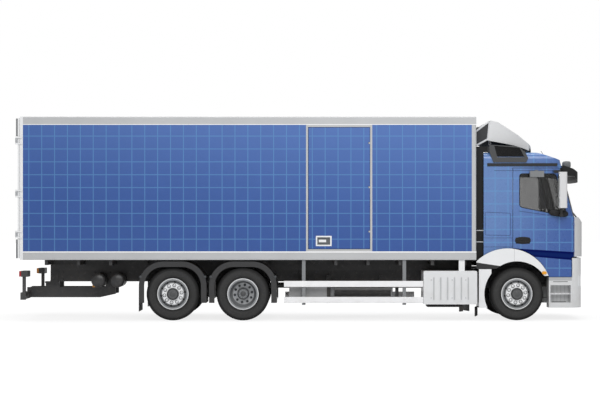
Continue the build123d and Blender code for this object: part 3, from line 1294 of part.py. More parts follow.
def load_body():
    """The load body and its doors."""
    write("box_floor", box_floor())
    write("box_walls", *box_walls())
    write("box_roof", box_roof())
    write("box_rails", *box_rails())
    write("box_rear_frame", rear_frame())
    write("side_door", side_door())
    for side, place in (("left", lambda s: s), ("right", flipped)):
        write(f"rear_{side}_door", place(rear_door()))
        write(f"rear_{side}_fittings", *[place(piece) for piece in rear_fittings()])


def steering():
    """Knuckles and the rod between them."""
    write("left_knuckle", knuckle())
    write("right_knuckle", flipped(knuckle()))
    write("track_rod", track_rod())


os.makedirs("parts", exist_ok=True)
wheels()
steering()
chassis()
load_body()
cab()
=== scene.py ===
import json
from math import pi, radians

import bmesh
import bpy
import numpy as np
from bpy.props import FloatProperty, FloatVectorProperty, IntProperty, PointerProperty
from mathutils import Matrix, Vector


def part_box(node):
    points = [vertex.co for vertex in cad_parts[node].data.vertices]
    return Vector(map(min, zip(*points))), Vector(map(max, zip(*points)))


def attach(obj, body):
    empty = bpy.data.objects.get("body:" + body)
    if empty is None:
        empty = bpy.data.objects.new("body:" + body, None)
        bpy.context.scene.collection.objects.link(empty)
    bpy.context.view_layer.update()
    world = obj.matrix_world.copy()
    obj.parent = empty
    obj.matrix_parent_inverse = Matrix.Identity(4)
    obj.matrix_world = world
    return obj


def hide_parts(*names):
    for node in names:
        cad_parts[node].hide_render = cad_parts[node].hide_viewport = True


bl_info = {
    "name": "Box truck dresser",
    "version": (1, 0, 0),
    "blender": (4, 5, 0),
    "location": "View3D > Sidebar > Truck",
    "description": "Finishes and small pieces for a rigid box truck with a tilting cab",
    "category": "Object",
}

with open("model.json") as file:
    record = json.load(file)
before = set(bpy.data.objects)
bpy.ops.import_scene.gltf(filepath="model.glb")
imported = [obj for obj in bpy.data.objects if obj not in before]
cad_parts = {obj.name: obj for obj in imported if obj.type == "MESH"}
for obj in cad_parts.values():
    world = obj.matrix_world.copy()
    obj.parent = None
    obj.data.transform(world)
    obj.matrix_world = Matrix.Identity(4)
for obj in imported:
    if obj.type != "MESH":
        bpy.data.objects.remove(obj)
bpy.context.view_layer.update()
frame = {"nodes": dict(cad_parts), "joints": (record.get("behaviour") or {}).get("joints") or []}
NODES = frame["nodes"]
JOINTS = {joint["name"]: joint["pos_m"] for joint in frame["joints"]}

# Places read from the frame, in metres
BODY_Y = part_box("box_rails")[1].y
CAB_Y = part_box("cab_back")[1].y
WALL_Z = (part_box("box_walls")[0].z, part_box("box_walls")[1].z)
RAIL_X = (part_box("box_rails")[0].x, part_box("box_rails")[1].x)
GUARD_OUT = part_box("rear_mudguards")[1].y
SIDES = (("left", 1), ("right", -1))
AXLES = ("front", "tag", "drive")

# Places of painted lines and of small pieces, in metres
BODY_MIDDLE, CAB_MIDDLE = (-1.0, 0, 2.5), (4.4, 0, 2.2)
BODY_LINES = (-5.241, 3.55)  # where a line crosses the load body, and the height of one along it
CAB_LINES = (3.7315, 2.7437)  # the same on the cab
CAB_PITCH, CAB_LINE = 0.2477, 0.02
LATCH_X, LATCH_Z = (0.272, 0.576), (1.435, 1.633)
# dark lines of painted shade in the grooves between the exhaust cover's ribs
RIB_GROOVE_SHADE = (2.541, 0.1325, 0.024)  # first, pitch and width
ARCH_SEAM_X = (4.094, 4.102)
GUARD_RAILS_Y, GUARD_RAILS_Z = 1.202, ((0.342, 0.461), (0.649, 0.768))
SEAMS_Z = ((1.588, 1.596), (1.415, 1.423))
NOSE_Z = 1.995  # where the nose ends and the pillars begin
RECESS_X, RECESS_Z = (4.128, 4.402), (1.478, 1.602)  # behind a door handle
BAR_X, BAR_Z = (4.112, 4.417), (1.516, 1.574)  # a door handle's bar
SLOTS_X, SLOTS_Z = (4.85, 5.13), ((0.741, 0.754), (0.348, 0.36))  # in the bumper
STRAPS_X = ((0.002, 0.074), (0.489, 0.561))  # on the battery box
CLAMPS_Z = ((1.727, 1.745), (1.506, 1.524))  # on the intake's duct
WINDOW = ((4.202, 2.83), (4.894, 2.83), (5.112, 2.048), (4.768, 2.076), (4.202, 2.19))
LOCKER = ((3.539, 1.649), (4.029, 1.640), (4.029, 2.068), (3.539, 2.091))
# outline of the deflector's open frame, filled with a dark sheet as painted shade
DEFLECTOR_OPENING = ((3.370, 3.650), (3.640, 3.855), (3.612, 3.560), (3.600, 3.500), (3.370, 3.376))
FRAME_Y = 0.425  # outer face of the chassis rails
TWIN_Y = 0.175  # half the distance between twin tyres
SINK = 0.001  # how far a head or cover stands inside its face

# Seat pads: name, half sizes, roundness, place in X and Z, and turn about Y
SEAT_PADS = (("cushion", (0.255, 0.222, 0.055), 0.42, (4.27, 1.692), 0.03),
             ("back", (0.064, 0.212, 0.315), 0.4, (3.93, 1.975), -0.16),
             ("head_rest", (0.036, 0.115, 0.085), 0.5, (3.868, 2.385), -0.12))

# Tones that several finishes share, and those of a wheel's well, disc, hub and middle, by whether it is dished
LINING, DUST, EDGE_BLACK = "8f9194", "8d8478", "141415"
# The well and disc tones are painted light and shade on one silver paint: a grey well in shade, a disc brighter
# as a highlight on flat wheels and greyer in shade on dished ones
RIM_TONES = {False: ("808284", "eeeff0", "343536", "5a5b5c"), True: ("838587", "c2c4c6", "6a6c6e", "7c7e80")}

# Fine grain of the finishes: scale, strength and depth
GRAINS = {
    "gloss": (320, 0.03, 0.0004), "rail": (300, 0.03, 0.0004), "enamel": (300, 0.04, 0.0005),
    "satin": (260, 0.05, 0.0005), "moulding": (240, 0.08, 0.0006), "chassis": (180, 0.12, 0.0008),
    "plastic": (420, 0.25, 0.0007), "mudguard": (300, 0.2, 0.0008), "battery": (300, 0.15, 0.0006),
    "intake": (380, 0.2, 0.0007), "steel": (260, 0.1, 0.0004), "plated": (260, 0.1, 0.0005),
    "tank": (240, 0.1, 0.0004), "rubber": (260, 0.25, 0.0008), "lens": (200, 0.02, 0.0004),
    "boards": (140, 0.2, 0.001), "lining": (520, 0.3, 0.0007), "mirror": (300, 0.06, 0.0005),
    "glass": (120, 0.01, 0.0003), "visor": (320, 0.08, 0.0005),
}
WEAVE = (0.004, 0.003)  # pitch and width of the seat cloth's threads

FINISHES = {}  # materials by name, filled by the first step


def tone(code):
    """Linear colour of a screen colour written as RRGGBB."""
    parts = np.array([int(code[i:i + 2], 16) for i in (0, 2, 4)]) / 255
    linear = np.where(parts < 0.04045, parts / 12.92, ((parts + 0.055) / 1.055) ** 2.4)
    return tuple(float(part) for part in linear)


def size(label, words, value, unit="LENGTH"):
    return FloatProperty(name=label, description=words, default=value, unit=unit)


def colour(label, words, code):
    return FloatVectorProperty(name=label, description=words, default=tone(code), subtype="COLOR",
                               min=0, max=1)


class TruckSizes(bpy.types.PropertyGroup):
    """Sizes of the small pieces."""
    groove_depth: size("Groove depth", "Depth of the tread grooves", 0.013)
    nut_circle: size("Nut circle", "Radius of the ring of wheel nuts", 0.1675)
    nut_radius: size("Nut radius", "Radius of a wheel nut's flange", 0.025)
    rivet_radius: size("Rivet radius", "Radius of a rivet in the edge rails", 0.007)
    rivet_pitch: size("Rivet pitch", "Distance between rivets", 0.17)
    mesh_pitch: size("Mesh pitch", "Distance between the wires of the air intake", 0.026)
    seal_width: size("Seal width", "Width of the window seals", 0.016)
    seat_shift: size("Seat shift", "A seat's middle from the truck's middle", 0.52)
    grid_pitch: size("Grid pitch", "Distance between the painted lines", 0.2475)
    line_width: size("Line width", "Width of a painted line on the load body", 0.017)
    nuts: IntProperty(name="Nuts", description="Wheel nuts on each wheel", default=10, min=3)


class TruckColours(bpy.types.PropertyGroup):
    """Colours of the finishes."""
    # The load body's blue runs from a shaded tone low down to a lit tone high up: painted shade and painted
    # light
    blue_shaded: colour("Deep blue", "Paint low on the load body", "2a4f93")
    blue_lit: colour("Pale blue", "Paint high on the load body", "4d70b0")
    blue_line: colour("Line blue", "Lines on the load body", "568cbd")
    # The cab's blue runs from a lit tone at the rear and top to a shaded tone at the front and foot: painted
    # light and shade
    cab_shaded: colour("Cab deep blue", "Paint at the cab's front", "345699")
    cab_lit: colour("Cab pale blue", "Paint at the cab's rear", "5f7fb4")
    cab_line: colour("Cab line blue", "Lines on the cab", "5c96c6")
    # A dark blue painted as the shade in the crease along the doors
    crease: colour("Crease blue", "Shaded crease along the doors", "05104f")
    seam: colour("Seam blue", "Seams of the cab's sides", "01041f")
    rail: colour("Rail grey", "Edge rails of the load body", "b7b8b9")
    white: colour("White", "White paint", "e6e7e8")
    moulded: colour("Moulded grey", "Bumper and deflector", "cfd0d1")
    black: colour("Black", "Chassis paint", "2b2b2c")
    guard: colour("Mudguard grey", "Rear mudguards", "2b2b2c")
    rubber: colour("Rubber", "Tyres", "363636")
    silver: colour("Silver", "Wheel paint", "d2d3d4")


class TruckStage(bpy.types.PropertyGroup):
    """Camera and light."""
    lens: size("Lens", "Focal length", 98.4, "CAMERA")
    eye_y: size("Eye distance", "Camera's place along Y", -32.775)
    eye_x: size("Eye along the truck", "Camera's place along X", -0.032)
    eye_z: size("Eye height", "Camera's height", 1.88)
    lift: FloatProperty(name="Lift", description="Vertical shift of the picture", default=23 / 600)
    sky: FloatProperty(name="Sky", description="Strength of the even light", default=0.46)
    key: size("Key", "Power of the large lamp on the seen side", 1600, "POWER")
    far: size("Far", "Power of the lamp on the far side", 850, "POWER")
    top: size("Top", "Power of the lamp overhead", 1050, "POWER")


def sizes():
    return bpy.context.scene.truck_sizes


def colours():
    return bpy.context.scene.truck_colours


# Surfaces: each is a pair of arrays, the points and the four-cornered faces

def grid_faces(rows, columns, wrap_rows=False, wrap_columns=False):
    """Faces between neighbours in a grid of points, round the back where an axis wraps."""
    i, j = np.meshgrid(np.arange(rows if wrap_rows else rows - 1),
                       np.arange(columns if wrap_columns else columns - 1), indexing="ij")
    down, right = (i + 1) % rows, (j + 1) % columns
    corners = (i * columns + j, i * columns + right, down * columns + right, down * columns + j)
    return np.stack(corners, -1).reshape(-1, 4)


def together(*surfaces):
    """One surface from several: points end to end, and the faces' numbers moved up to match."""
    counts = [len(points) for points, _ in surfaces]
    starts = np.cumsum([0] + counts[:-1])
    faces = [numbers + start for (_, numbers), start in zip(surfaces, starts)]
    return np.concatenate([points for points, _ in surfaces]), np.concatenate(faces)


def revolved(profile, count, closed=False):
    """Profile of (radius, height) pairs turned about Z: radius times the cosine and sine of the turn."""
    turn = np.linspace(0, 2 * pi, count, endpoint=False)[:, None]
    radius, height = np.asarray(profile, float).T
    points = np.stack((radius * np.cos(turn), radius * np.sin(turn), height + 0 * turn), -1)
    return points.reshape(-1, 3), grid_faces(count, len(profile), True, closed)


def carried(section, path, up=(0, 0, 1), ring=False):
    """Section of (across, up) pairs carried along a path: each path point plus across times the sideways
    direction plus up times the direction at right angles to both. Open ends shrink to the path's ends."""
    path = np.asarray(path, float)
    section = np.asarray(section, float)
    ahead = np.roll(path, -1, 0) - np.roll(path, 1, 0) if ring else np.gradient(path, axis=0)
    ahead = ahead / np.linalg.norm(ahead, axis=1, keepdims=True)
    side = np.cross(np.asarray(up, float), ahead)
    side = side / np.linalg.norm(side, axis=1, keepdims=True)
    rise = np.cross(ahead, side)
    points = path[:, None] + section[:, :1] * side[:, None] + section[:, 1:] * rise[:, None]
    if not ring:
        points = np.concatenate((path[:1, None] + 0 * points[:1], points, path[-1:, None] + 0 * points[:1]))
    return points.reshape(-1, 3), grid_faces(len(points), len(section), ring, True)


def copies(template, places, outward):
    """A template that stands on the origin with its head towards +Z, set down at each place and turned so
    that its +Z points outward."""
    points, faces = template
    places = np.asarray(places, float)
    head = np.broadcast_to(np.asarray(outward, float), places.shape)
    head = head / np.linalg.norm(head, axis=1, keepdims=True)
    helper = np.where(np.abs(head[:, :1]) > 0.9, [[0.0, 0.0, 1.0]], [[1.0, 0.0, 0.0]])
    first = np.cross(helper, head)
    first = first / np.linalg.norm(first, axis=1, keepdims=True)
    turns = np.stack((first, np.cross(head, first), head), -1)
    moved = places[:, None] + np.einsum("nij,pj->npi", turns, points)
    numbers = faces[None] + len(points) * np.arange(len(places))[:, None, None]
    return moved.reshape(-1, 3), numbers.reshape(-1, 4)


def disc_loop(radius, count):
    """Closed loop round a circle."""
    turn = np.linspace(0, 2 * pi, count, endpoint=False)
    return np.stack((radius * np.cos(turn), radius * np.sin(turn)), -1)


def box_loop(width, height, corner, steps=4):
    """Closed loop round a rectangle with rounded corners: a quarter turn at each corner's centre."""
    turn = np.linspace(0, pi / 2, steps)
    starts = np.arange(4) * pi / 2
    angle = (starts[:, None] + turn).ravel()
    sign = np.repeat([(1, 1), (-1, 1), (-1, -1), (1, -1)], steps, axis=0)
    half = np.array([width / 2 - corner, height / 2 - corner])
    return sign * half + corner * np.stack((np.cos(angle), np.sin(angle)), -1)


def bent_loop(corners, radius, steps=6):
    """Closed loop through flat corners, each rounded by a curve from one edge to the next: the weights are
    those of a parabola between the points a radius before and after the corner."""
    corners = np.asarray(corners, float)
    before = np.roll(corners, 1, 0) - corners
    after = np.roll(corners, -1, 0) - corners
    before = corners + radius * before / np.linalg.norm(before, axis=1, keepdims=True)
    after = corners + radius * after / np.linalg.norm(after, axis=1, keepdims=True)
    t = np.linspace(0, 1, steps)[:, None]
    curve = (1 - t) ** 2 * before[:, None] + 2 * t * (1 - t) * corners[:, None] + t ** 2 * after[:, None]
    return curve.reshape(-1, 2)


def plate(loop, depth, edge):
    """Plate over a loop in X-Y, from z = 0 to its depth, with its upper edge drawn in: the loop is carried
    up, pulled towards its middle by the edge, and shrunk to the middle at both faces."""
    middle = loop.mean(0)
    pull = 1 - edge / np.linalg.norm(loop - middle, axis=1, keepdims=True)
    rings = [(0 * loop + middle, 0), (loop, 0), (loop, depth - edge),
             (middle + (loop - middle) * pull, depth), (0 * loop + middle, depth)]
    points = np.concatenate([np.column_stack((ring, np.full(len(ring), z))) for ring, z in rings])
    return points, grid_faces(len(rings), len(loop), False, True)


def upright(corners, y, thick, sign, radius=0.006):
    """Plate over corners given as (X, Z) pairs, standing at y from the truck's middle on one side."""
    points, faces = plate(bent_loop(corners, radius, 3), thick, 0.002)
    return np.column_stack((points[:, 0], sign * (y + points[:, 2]), points[:, 1])), faces


def rectangle(left, foot, right, top):
    """Corners of a rectangle."""
    return (left, foot), (right, foot), (right, top), (left, top)


def beaded(bead, loop, y):
    """Bead of a width, height and corner radius, carried round a loop of (X, Z) pairs at a y."""
    path = np.column_stack((loop[:, 0], np.full(len(loop), y), loop[:, 1]))
    return carried(box_loop(*bead, 3), path, (0, 1, 0), True)


def studded(head, along, heights, y):
    """Heads in rows along X at some heights, on both sides at y from the truck's middle."""
    x, z = (values.ravel() for values in np.meshgrid(along, heights))
    rows = [copies(head, np.column_stack((x, np.full(x.size, sign * y), z)), (0, sign, 0)) for _, sign in SIDES]
    return together(*rows)


def pillow(half, power, count=40):
    """Closed rounded block: on a sphere's grid, each of cosine and sine raised to a power below one and
    scaled by the half sizes."""
    across = np.linspace(0, 2 * pi, count, endpoint=False)
    down = np.linspace(-pi / 2, pi / 2, count // 2)[:, None]

    def bent(value):
        return np.sign(value) * np.abs(value) ** power

    points = np.stack((half[0] * bent(np.cos(down)) * bent(np.cos(across)),
                       half[1] * bent(np.cos(down)) * bent(np.sin(across)),
                       half[2] * bent(np.sin(down)) + 0 * across), -1)
    return points.reshape(-1, 3), grid_faces(count // 2, count, False, True)


def moved(surface, shift, turn_y=0.0):
    """A surface turned about Y and then shifted."""
    points, faces = surface
    c, s = np.cos(turn_y), np.sin(turn_y)
    return points @ np.array([(c, 0, -s), (0, 1, 0), (s, 0, c)]) + shift, faces


def nut(radius, height):
    """Flanged nut with a domed stud end, as rings about Z. The middle rings have their six corners."""
    count = 12
    base, faces = revolved(((0, 0), (radius, 0), (radius, 0.2 * height), (0.78 * radius, 0.3 * height),
                            (0.78 * radius, 0.92 * height), (0.7 * radius, height), (0.42 * radius, height),
                            (0.42 * radius, 1.25 * height), (0, 1.32 * height)), count)
    rings = base.reshape(count, -1, 3)
    flat = np.where(np.arange(count) % 2, 0.9, 1.0)[:, None, None]
    rings[:, 3:6, :2] *= flat
    return rings.reshape(-1, 3), faces


def dome(radius, height):
    """Low round head, as rings about Z."""
    return revolved(((0, 0), (radius, 0), (0.9 * radius, 0.55 * height), (0.5 * radius, 0.92 * height),
                     (0, height)), 8)


def piece(name, surface, body, finish, crease=35):
    """Object made of a surface, in a finish by its name: doubles merged, faces outwards, edges sharper than the
    crease kept."""
    points, faces = surface
    mesh = bpy.data.meshes.new(name)
    mesh.from_pydata(points.tolist(), [], faces.tolist())
    work = bmesh.new()
    work.from_mesh(mesh)
    bmesh.ops.remove_doubles(work, verts=work.verts, dist=1e-6)
    bmesh.ops.recalc_face_normals(work, faces=work.faces)
    work.to_mesh(mesh)
    work.free()
    mesh.polygons.foreach_set("use_smooth", np.ones(len(mesh.polygons), bool))
    mesh.set_sharp_from_angle(angle=radians(crease))
    mesh.materials.append(FINISHES[finish])
    made = bpy.data.objects.new(name, mesh)
    bpy.context.scene.collection.objects.link(made)
    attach(made, body)
    return made


def trim(name, surface, body):
    """A piece of black plastic trim."""
    piece(name, surface, body, "plastic")


def on_node(node, start, way):
    """Point where a line from a start, in a direction, meets a CAD node."""
    bpy.context.view_layer.update()
    hit, point, _, _ = NODES[node].ray_cast(start, way)
    if not hit:
        raise RuntimeError(f"nothing of {node} lies on the line from {tuple(start)}")
    return np.array(point)


# Finishes

class Nodes:
    """A node tree, with its links and sums."""

    def __init__(self, tree):
        self.tree = tree

    def feed(self, socket, value):
        """Links an output to a socket, or sets the socket's own value. A colour may be written as RRGGBB."""
        if isinstance(value, bpy.types.NodeSocket):
            self.tree.links.new(value, socket)
        elif socket.type == "RGBA":
            socket.default_value = (*(tone(value) if isinstance(value, str) else value), 1)
        else:
            socket.default_value = value

    def add(self, kind, inputs, **settings):
        """A new node with its inputs fed."""
        node = self.tree.nodes.new(kind)
        for key, value in settings.items():
            setattr(node, key, value)
        for key, value in inputs.items():
            self.feed(node.inputs[key], value)
        return node

    def sum(self, operation, first, second=0.0):
        """One step of arithmetic."""
        return self.add("ShaderNodeMath", {0: first, 1: second}, operation=operation).outputs[0]

    def seen(self):
        """1 for rays from the camera, also through glass."""
        path = self.add("ShaderNodeLightPath", {}).outputs
        return self.sum("MAXIMUM", path["Is Camera Ray"], path["Is Transmission Ray"])


class Finish(Nodes):
    """One node material: its coordinates, its masks and its shader."""

    def __init__(self, name):
        self.material = bpy.data.materials.new(name)
        self.material.use_nodes = True
        super().__init__(self.material.node_tree)
        self.shader = self.tree.nodes["Principled BSDF"]
        self.coords = self.add("ShaderNodeTexCoord", {})
        self.x, self.y, self.z = self.split(self.coords.outputs["Object"])
        self.nx, self.ny, self.nz = self.split(self.coords.outputs["Normal"])

    def give(self, **values):
        """Feeds inputs of the shader, named with _ for a space."""
        for name, value in values.items():
            self.feed(self.shader.inputs[name.replace("_", " ")], value)

    def split(self, vector):
        """The three parts of a vector."""
        return self.add("ShaderNodeSeparateXYZ", {0: vector}).outputs

    def absolute(self, value):
        """A value without its sign."""
        return self.sum("ABSOLUTE", value)

    def line(self, value, factor, constant):
        """A value times a factor plus a constant."""
        return self.sum("ADD", self.sum("MULTIPLY", value, factor), constant)

    def rise(self, value, low, high):
        """0 below low, 1 above high and smooth between. It falls where low is above high."""
        inputs = {"Value": value, "From Min": low, "From Max": high, "To Min": 0.0, "To Max": 1.0}
        return self.add("ShaderNodeMapRange", inputs, interpolation_type="SMOOTHSTEP").outputs[0]

    def above(self, value, limit, soft=0.002):
        """1 above a limit, with a soft edge."""
        return self.rise(value, limit - soft, limit + soft)

    def below(self, value, limit, soft=0.002):
        """1 below a limit, with a soft edge."""
        return self.rise(value, limit + soft, limit - soft)

    def between(self, value, low, high, soft=0.002):
        """1 from low to high, with soft edges."""
        return self.both(self.above(value, low, soft), self.below(value, high, soft))

    def bands(self, value, *ranges):
        """1 within any of some ranges."""
        return self.either(*(self.between(value, *ends) for ends in ranges))

    def both(self, *masks):
        """Masks multiplied."""
        result = masks[0]
        for mask in masks[1:]:
            result = self.sum("MULTIPLY", result, mask)
        return result

    def either(self, *masks):
        """Largest of some masks."""
        result = masks[0]
        for mask in masks[1:]:
            result = self.sum("MAXIMUM", result, mask)
        return result

    def mix(self, mask, first, second, strength=1.0):
        """Second colour over the first by a mask, as strong as given."""
        share = mask if strength == 1 else self.sum("MULTIPLY", mask, strength)
        return self.add("ShaderNodeMix", {0: share, 6: first, 7: second}, data_type="RGBA").outputs[2]

    def noise(self, scale, detail=2.0, stretch=None):
        """Cloudy value from 0 to 1 on the object's coordinates."""
        vector = self.coords.outputs["Object"]
        if stretch:
            vector = self.add("ShaderNodeMapping", {"Vector": vector, "Scale": stretch}).outputs[0]
        inputs = {"Vector": vector, "Scale": scale, "Detail": detail}
        return self.add("ShaderNodeTexNoise", inputs).outputs["Fac"]

    def stripes(self, value, first, pitch, width):
        """1 on lines at a pitch along a value: folded back and forth, it gives the way to the next line."""
        fold = self.sum("PINGPONG", self.sum("SUBTRACT", value, first), pitch / 2)
        return self.rise(fold, 0.75 * width, 0.25 * width)

    def side(self):
        """Distance from the truck's middle plane."""
        return self.absolute(self.y)

    def outward(self, centre):
        """1 where a face looks away from a centre: the dot product of its normal with the way from there."""
        places, normals = (self.x, self.y, self.z), (self.nx, self.ny, self.nz)
        parts = [self.sum("MULTIPLY", self.sum("SUBTRACT", place, middle), normal)
                 for place, middle, normal in zip(places, centre, normals)]
        return self.above(self.sum("ADD", self.sum("ADD", parts[0], parts[1]), parts[2]), 0.0, 0.03)

    def round(self, x, z):
        """Distance from a line along Y."""
        wide, high = self.sum("SUBTRACT", self.x, x), self.sum("SUBTRACT", self.z, z)
        squares = self.sum("ADD", self.sum("MULTIPLY", wide, wide), self.sum("MULTIPLY", high, high))
        return self.sum("SQRT", squares)

    def done(self, base, grain, rough, spread, dust=0.0, metallic=0.0, coat=0.0, cloud=0.07, shine=0.5):
        """Closes the material: cloudy shading on the base, dust low down, uneven roughness and a fine grain."""
        scale, strength, depth = GRAINS[grain]
        value = self.line(self.noise(1.7, 4.0), 2 * cloud, 1 - cloud)
        result = self.add("ShaderNodeHueSaturation", {"Value": value, "Color": base}).outputs[0]
        if dust:
            low = self.both(self.rise(self.z, 1.15, 0.25), self.rise(self.noise(6.0, 6.0), 0.35, 0.8))
            result = self.mix(low, result, DUST, dust)
        grained = {"Strength": strength, "Distance": depth, "Height": self.noise(scale)}
        bump = self.add("ShaderNodeBump", grained).outputs[0]
        self.give(Base_Color=result, Roughness=self.line(self.noise(11.0, 5.0), 2 * spread, rough - spread),
                  Metallic=metallic, Coat_Weight=coat, Specular_IOR_Level=shine, Normal=bump)
        return self.material


def load_body_blue(f, along):
    """The load body's blue with painted shade, darker low down and towards the rear and lighter high up, with
    lines at a pitch along a value and upwards.
    """
    c, s = colours(), sizes()
    # painted shade: height and X give the ramp from the shaded blue to the lit blue
    height = f.sum("ADD", f.line(f.z, 0.24, -0.32), f.sum("MULTIPLY", f.x, 0.03))
    blue = f.mix(f.rise(height, 0.0, 0.85), c.blue_shaded, c.blue_lit)
    lines = [f.stripes(value, first, s.grid_pitch, s.line_width)
             for value, first in zip((along, f.z), BODY_LINES)]
    return f.mix(f.either(*lines), blue, c.blue_line, 0.6)


def load_body_paint():
    """Blue with a pale grid of lines outside, white inside."""
    f = Finish("load_body_paint")
    along = f.sum("ADD", f.both(f.x, f.absolute(f.ny)), f.both(f.y, f.absolute(f.nx)))
    base = f.mix(f.outward(BODY_MIDDLE), colours().white, load_body_blue(f, along))
    return f.done(base, "gloss", 0.3, 0.05, coat=0.3, cloud=0.05)


def side_door_paint():
    """As the load body, with its painted shade, a pale latch plate and painted shade in the plate's recess."""
    f, c = Finish("side_door_paint"), colours()
    blue = f.mix(f.rise(f.ny, -0.5, -0.7), c.white, load_body_blue(f, f.x))
    near = f.rise(f.y, -BODY_Y + 0.04, -BODY_Y + 0.035)
    latch = f.both(f.between(f.x, *LATCH_X), f.between(f.z, *LATCH_Z), near)
    # painted shade: the latch plate's recess is darker
    latch_recess_shade = f.both(latch, f.rise(f.y, -BODY_Y + 0.026, -BODY_Y + 0.029))
    base = f.mix(latch_recess_shade, f.mix(latch, blue, c.white), "5d6063")
    return f.done(base, "gloss", 0.3, 0.05, coat=0.3, cloud=0.05)


def edge_rail_paint():
    """Satin grey profiles with drawing lines along them and a white edge by the panels."""
    f = Finish("edge_rail_paint")
    grey = f.mix(f.noise(60.0, 3.0, (0.02, 1, 1)), colours().rail, "a9abad", 0.25)
    low, high = WALL_Z
    edge = f.bands(f.z, (low - 0.02, low - 0.004), (high + 0.004, high + 0.012))
    return f.done(f.mix(edge, grey, "ffffff"), "rail", 0.38, 0.06, coat=0.1)


def white_paint(name="white_paint", dust=0.15):
    """Gloss white with faint runs of dirt."""
    f = Finish(name)
    runs = f.rise(f.noise(5.0, 4.0, (6, 6, 0.5)), 0.55, 0.85)
    base = f.mix(runs, colours().white, "a8a9a6", 0.12)
    return f.done(base, "enamel", 0.33, 0.06, dust, coat=0.25, cloud=0.03)


def exhaust_paint():
    """White cover with painted shade in the grooves between its ribs, dark below its foot."""
    f = Finish("exhaust_paint")
    first, pitch, width = RIB_GROOVE_SHADE
    # painted shade: darker lines at the rib grooves, on the faces that look outward
    grooves = f.both(f.stripes(f.x, first, pitch, width), f.between(f.x, 2.51, 3.235),
                     f.between(f.z, 0.40, 0.835, 0.02), f.rise(f.ny, -0.5, -0.6))
    base = f.mix(grooves, "dadbdc", "8b8d8f", 0.6)
    base = f.mix(f.below(f.z, 0.307, 0.005), base, colours().black)
    return f.done(base, "enamel", 0.36, 0.06, 0.12, coat=0.2, cloud=0.03)


def arch_paint(name, inner, gap=False):
    """White outside and black inside, parted at a distance from the truck's middle. A gap adds a black foot
    over the room to the mudguard, as painted shade where the gap shows."""
    f = Finish(name)
    pale = f.mix(f.between(f.x, *ARCH_SEAM_X, 0.003), "e2e3e4", "8b8d90", 0.5)
    outside = f.both(f.above(f.side(), inner, 0.001), f.rise(f.absolute(f.ny), 0.2, 0.4))
    if gap:
        # painted shade: the arch's outer face turns black low at its rear, over the gap to the mudguard
        above = f.line(f.x, 0.15, f.z)
        outside = f.both(outside, f.either(f.above(above, 1.625, 0.003), f.above(f.x, 4.105, 0.005)))
    return f.done(f.mix(outside, "1d1d1e", pale), "enamel", 0.34, 0.06, 0.1, coat=0.2, cloud=0.03)


def guard_rail_paint():
    """White rails on grey posts."""
    f = Finish("guard_rail_paint")
    rails = f.both(f.bands(f.z, *GUARD_RAILS_Z), f.above(f.side(), GUARD_RAILS_Y))
    base = f.mix(rails, "7d7f81", "ececed")
    return f.done(base, "satin", 0.36, 0.06, 0.12, coat=0.1)


def cab_blue_on(f):
    """The cab's blue with painted shade, darker towards the front and the foot, with its grid and the seams of
    its sides.
    """
    c = colours()
    # painted shade, growing towards the front and the foot
    away = f.sum("ADD", f.line(f.x, 0.42, -1.51), f.line(f.z, -0.19, 0.50))
    blue = f.mix(f.rise(away, -0.02, 0.95), c.cab_lit, c.cab_shaded)
    front = f.rise(f.absolute(f.nx), 0.6, 0.8)
    along = f.sum("ADD", f.both(f.y, front), f.both(f.x, f.line(front, -1.0, 1.0)))
    lines = [f.stripes(value, first, CAB_PITCH, CAB_LINE) for value, first in zip((along, f.z), CAB_LINES)]
    blue = f.mix(f.either(*lines), blue, c.cab_line, 0.5)
    behind_door = f.both(f.bands(f.z, *SEAMS_Z), f.below(f.x, 4.075, 0.005))
    over_door = f.both(f.between(f.z, 2.884, 2.894), f.above(f.x, 3.71, 0.01))
    on_door = f.both(f.between(f.line(f.x, 0.138, f.z), 2.683, 2.693), f.between(f.x, 4.19, 4.76))
    seams = f.either(behind_door, over_door, on_door)
    return f.mix(seams, blue, c.seam, 0.75)


def pillar_edge(f):
    """1 along the sloping edge of the screen, above the nose."""
    return f.both(f.above(f.line(f.z, 0.288, f.x), 5.824, 0.004), f.above(f.z, NOSE_Z, 0.005))


def cab_paint():
    """Blue outside, grey lining inside."""
    f = Finish("cab_paint")
    base = f.mix(f.outward(CAB_MIDDLE), LINING, cab_blue_on(f))
    return f.done(base, "gloss", 0.28, 0.05, coat=0.4, cloud=0.04)


def cab_door_paint():
    """Blue with painted shade along a crease and a black edge along the screen outside, a black handle recess
    and a grey lining inside."""
    f = Finish("cab_door_paint")
    top, foot = f.line(f.x, 0.0602, f.z), f.line(f.x, 0.084, f.z)
    # painted shade: a dark band along the doors' crease, a little paler in its core
    crease_shade = f.both(f.below(top, 1.636), f.above(foot, 1.605))
    crease_shade_core = f.both(f.rise(top, 1.606, 1.585), f.rise(foot, 1.628, 1.652))
    blue = f.mix(crease_shade, cab_blue_on(f), colours().crease)
    blue = f.mix(crease_shade_core, blue, "2f569b", 0.12)
    blue = f.mix(pillar_edge(f), blue, EDGE_BLACK)
    inside, outside = f.below(f.side(), CAB_Y - 0.004, 0.001), f.above(f.side(), CAB_Y + 0.0015, 0.0005)
    recess = f.both(f.between(f.x, *RECESS_X), f.between(f.z, *RECESS_Z), inside)
    bar = f.both(f.between(f.x, *BAR_X), f.between(f.z, *BAR_Z), outside)
    blue = f.mix(f.either(recess, bar), blue, "111112")
    base = f.mix(f.above(f.side(), CAB_Y - 0.03, 0.001), LINING, blue)
    # the painted shade band also loses its coat and shine
    coat, shine = f.line(crease_shade, -0.4, 0.4), f.line(crease_shade, -0.48, 0.5)
    return f.done(base, "gloss", 0.28, 0.05, coat=coat, cloud=0.04, shine=shine)


